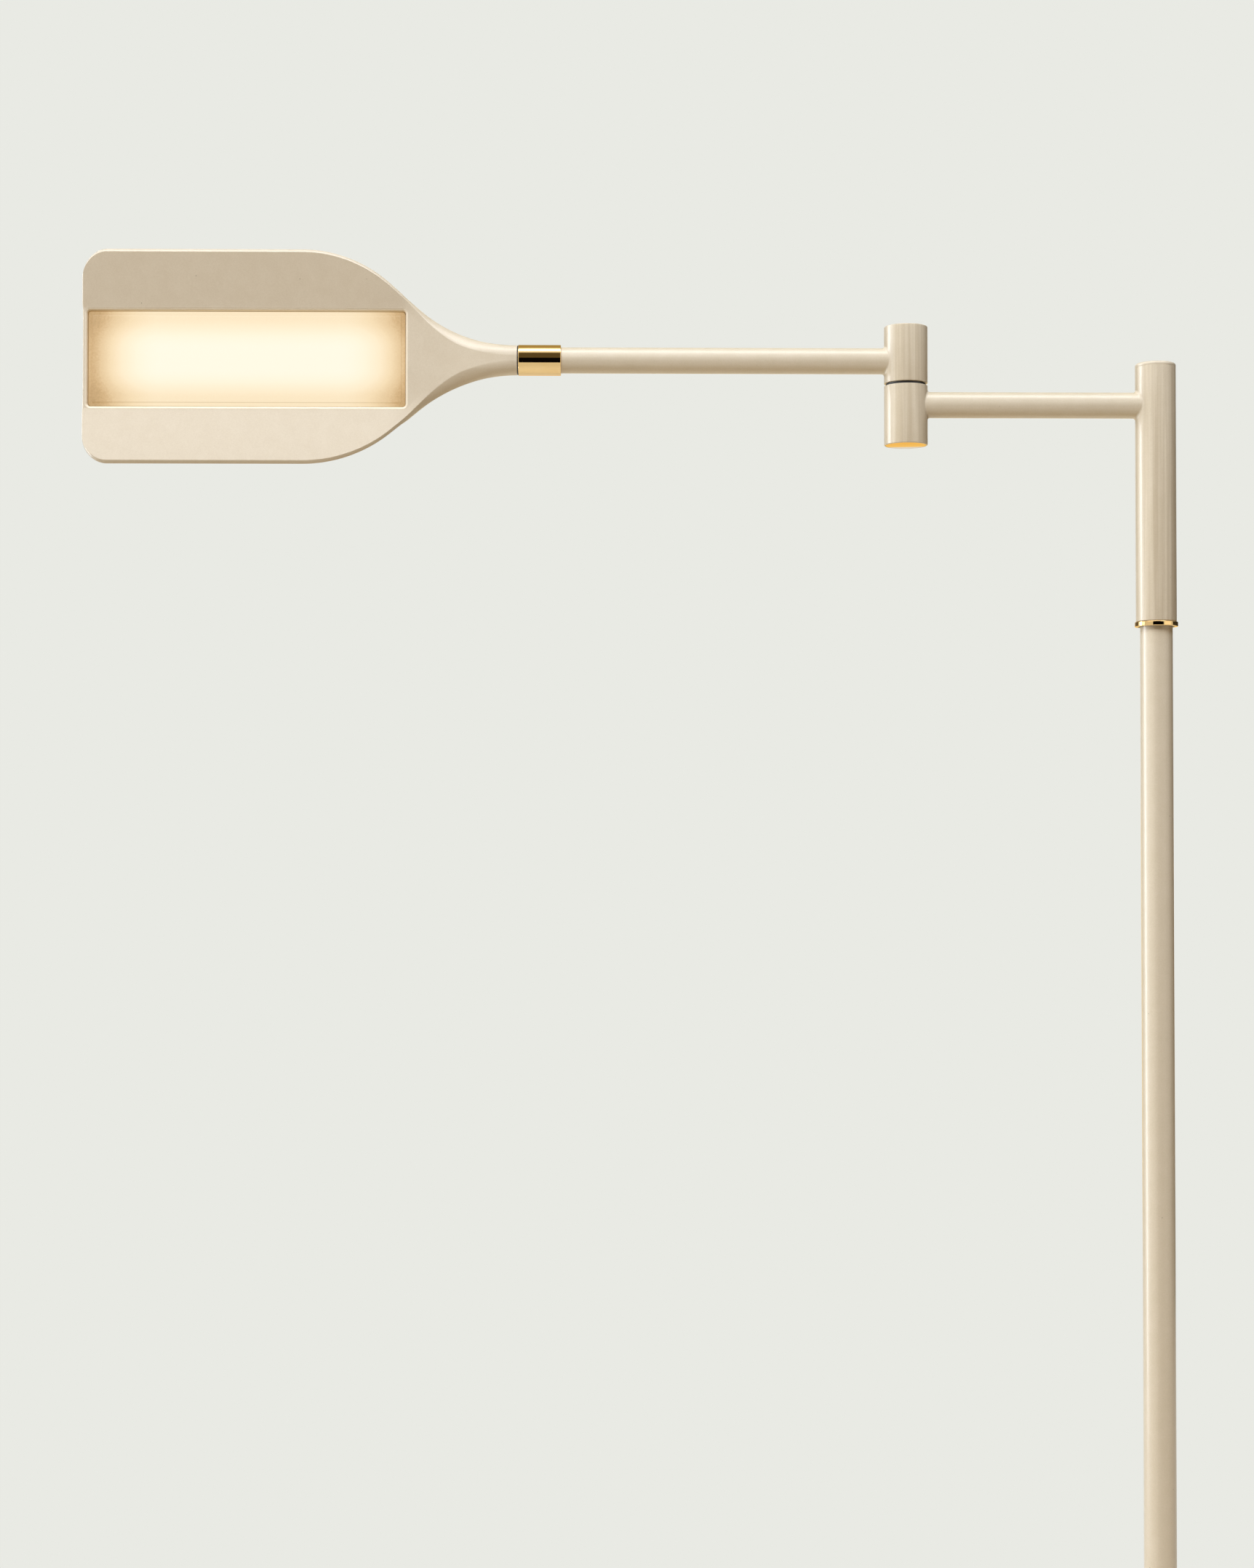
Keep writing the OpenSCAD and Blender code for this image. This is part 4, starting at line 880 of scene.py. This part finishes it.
def edge_round(grow, y, r, steps=4):
    """Loops round the edge of a face at the depth y, from its side to its front."""
    turns = [math.pi / 2 * k / steps for k in range(steps + 1)]
    return [window_loop(grow - r * (1 - math.cos(t)), y + r * (1 - math.sin(t))) for t in turns]


panel_loops = [window_loop(-PANEL_CLEAR, PANEL_BACK)]
panel_loops += edge_round(-PANEL_CLEAR, PANEL_FRONT + STEP, BORDER_EDGE_R)
panel_loops.append(window_loop(-PANEL_CLEAR - BORDER, PANEL_FRONT + STEP))
panel_loops += edge_round(-PANEL_CLEAR - BORDER, PANEL_FRONT, FACE_EDGE_R)
make_piece("opal_panel", *stacked(panel_loops),
           finishes["opal_diffuser"], "head", "opal_diffuser", ["diffuser"])


# ---------- finishes of the CAD nodes that stay ----------

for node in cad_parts.values():
    for holder in node.material_slots:
        if holder.material and holder.material.name in finishes:
            holder.material = finishes[holder.material.name]


# ---------- studio ----------

BACKDROP = "#E9EAE4"
FLOOR_R, FLOOR_SIDES, FLOOR_SINK = 12.0, 96, 0.0003
# The floor is itself up to the first distance from the lamp, and all backdrop from the second
FLOOR_NEAR, FLOOR_FAR = 0.45, 1.5


def seen_directly(tree):
    """1 for rays that an eye or a mirror sends out, 0 for the light's own rays."""
    path = add(tree, "ShaderNodeLightPath")
    eye = add(tree, "ShaderNodeMath", {
        0: path.outputs["Is Camera Ray"], 1: path.outputs["Is Glossy Ray"]}, operation="MAXIMUM")
    return add(tree, "ShaderNodeMath", {
        0: eye.outputs[0], 1: path.outputs["Is Transmission Ray"]}, operation="MAXIMUM").outputs[0]


world = bpy.data.worlds.new("studio")
world.use_nodes = True
bpy.context.scene.world = world
tree = world.node_tree
tree.nodes.clear()
room = add(tree, "ShaderNodeBackground", {"Color": linear("#FFCF90"), "Strength": 0.13})
plain = add(tree, "ShaderNodeBackground", {"Color": linear(BACKDROP), "Strength": 1.0})
both = add(tree, "ShaderNodeMixShader", {
    0: seen_directly(tree), 1: room.outputs[0], 2: plain.outputs[0]})
add(tree, "ShaderNodeOutputWorld", {"Surface": both.outputs[0]})

# Floor: matt pale linoleum, which turns into the plain backdrop away from the lamp.
# It throws back little of the light, so that undersides stay dark.
material, tree, place = new_material("matt_pale_floor")
reach = add(tree, "ShaderNodeVectorMath", {0: place}, operation="LENGTH")
far = add(tree, "ShaderNodeMapRange", {
    "Value": reach.outputs["Value"], "From Min": FLOOR_NEAR, "From Max": FLOOR_FAR,
    "To Min": 0.0, "To Max": 1.0}, interpolation_type="SMOOTHSTEP")
seen = seen_directly(tree)
away = add(tree, "ShaderNodeMath", {0: far.outputs[0], 1: seen}, operation="MULTIPLY")
tone = add(tree, "ShaderNodeMix", {0: seen, 6: linear("#A8A297"), 7: linear(BACKDROP)}, data_type="RGBA")
matt = add(tree, "ShaderNodeBsdfDiffuse", {"Color": tone.outputs[2]})
glow = add(tree, "ShaderNodeEmission", {"Color": linear(BACKDROP), "Strength": 1.0})
blended = add(tree, "ShaderNodeMixShader", {
    0: away.outputs[0], 1: matt.outputs[0], 2: glow.outputs[0]})
finish_material(tree, blended)

around = [math.tau * k / FLOOR_SIDES for k in range(FLOOR_SIDES)]
floor_mesh = bpy.data.meshes.new("floor")
floor_mesh.from_pydata([(FLOOR_R * math.cos(a), FLOOR_R * math.sin(a), -FLOOR_SINK) for a in around],
                       [], [list(range(FLOOR_SIDES))])
floor_mesh.materials.append(material)
floor = bpy.data.objects.new("floor", floor_mesh)
bpy.context.scene.collection.objects.link(floor)


def softbox(name, place, aim, width, height, power, colour, lights=True, mirrored=True):
    """A rectangular lamp, which may be left out of the light or of the reflections."""
    lamp = bpy.data.objects.new(name, bpy.data.lights.new(name, "AREA"))
    lamp.data.shape = "RECTANGLE"
    lamp.data.size, lamp.data.size_y = width, height
    lamp.data.energy = power
    lamp.data.color = linear(colour)[:3]
    lamp.location = place
    lamp.rotation_mode = "QUATERNION"
    lamp.rotation_quaternion = (Vector(aim) - Vector(place)).to_track_quat("-Z", "Y")
    lamp.visible_camera = False
    lamp.visible_diffuse = lights
    lamp.visible_glossy = mirrored
    bpy.context.scene.collection.objects.link(lamp)


# To the left a window with a bright gap between its blinds; overhead a broad softbox and, for
# reflections alone, its glare and a bright strip; a soft key in front and a soft fill behind;
# from below the warm light that a pale floor throws back
softbox("window", (-2.8, 0.4, 1.3), (0, 0, 1.2), 2.2, 2.6, 24, "#DFEFFF")
softbox("window_gap", (-2.5, 0.6, 1.3), (0, 0, 1.2), 0.45, 2.4, 27, "#F6FAFF")
softbox("overhead", (-0.3, -0.8, 3.3), (-0.3, -0.6, 1.3), 4.0, 1.34, 42, "#E3EFFF", mirrored=False)
softbox("overhead_glare", (-0.3, -0.6, 3.36), (-0.3, -0.6, 1.3), 4.0, 1.5, 9, "#FFFFFF", lights=False)
softbox("overhead_strip", (-0.3, -0.58, 3.3), (-0.3, -0.58, 1.3), 3.2, 0.76, 26, "#FFFFFF", lights=False)
softbox("front_key", (-0.9, -2.0, 3.1), (-0.3, 0, 1.2), 1.8, 1.2, 72, "#F4F9FF", mirrored=False)
softbox("back_fill", (1.0, 2.3, 2.1), (-0.3, 0, 1.1), 2.6, 1.8, 50, "#FFF8EA", mirrored=False)
softbox("floor_glow", (-0.3, -0.3, 0.02), (-0.3, -0.3, 1.3), 3.0, 2.0, 8, "#FFDC94", mirrored=False)


def card(name, corners, colour, level=1.0):
    """A card of a plain tone that only reflections see: it gives brass and paint their bands."""
    material, tree, _ = new_material(name)
    path = add(tree, "ShaderNodeLightPath")
    tone = add(tree, "ShaderNodeEmission", {"Color": linear(colour), "Strength": level})
    clear = add(tree, "ShaderNodeBsdfTransparent")
    only = add(tree, "ShaderNodeMixShader", {
        0: path.outputs["Is Glossy Ray"], 1: clear.outputs[0], 2: tone.outputs[0]})
    finish_material(tree, only)
    mesh = bpy.data.meshes.new(name)
    mesh.from_pydata(corners, [], [[i, i + 1, i + 3, i + 2] for i in range(0, len(corners) - 2, 2)])
    mesh.materials.append(material)
    made = bpy.data.objects.new(name, mesh)
    bpy.context.scene.collection.objects.link(made)


def upright(foot, top, places):
    """Corners of a card that stands upright on a path of (x, y) places."""
    return [(x, y, z) for x, y in places for z in (foot, top)]


def level_across(left, right, places):
    """Corners of a card that runs level from left to right, over a path of (y, z) places."""
    return [(x, y, z) for y, z in places for x in (left, right)]


card("black_front_card", upright(0.02, 1.75, [(-1.5, -2.6), (1.35, -2.6)]), "#0D0B08")
card("brown_upper_card", level_across(-1.30, 0.50, [(-2.6, 1.75), (-2.6, 2.95), (-1.75, 3.3)]), "#5E563F")
card("dark_room_card", upright(0.2, 2.6, [(2.6, -0.25), (1.9, 2.2), (0.9, 2.7)]), "#3A372D")
card("far_room_card", upright(0.2, 2.6, [(-0.9, 2.7), (-2.1, 1.9), (-2.5, 1.5)]), "#6E6858")
card("ceiling_card", level_across(-1.6, 1.2, [(0.25, 3.4), (2.7, 3.2), (2.9, 2.6)]), "#B5A56E")
card("right_glow_card", upright(0.8, 1.8, [(1.7, -2.6), (3.2, -1.2)]), "#FFFAF0", level=1.25)
card("gold_low_card", upright(0.4, 1.05, [(-2.6, 2.5), (1.8, 2.5)]), "#FFD67A")
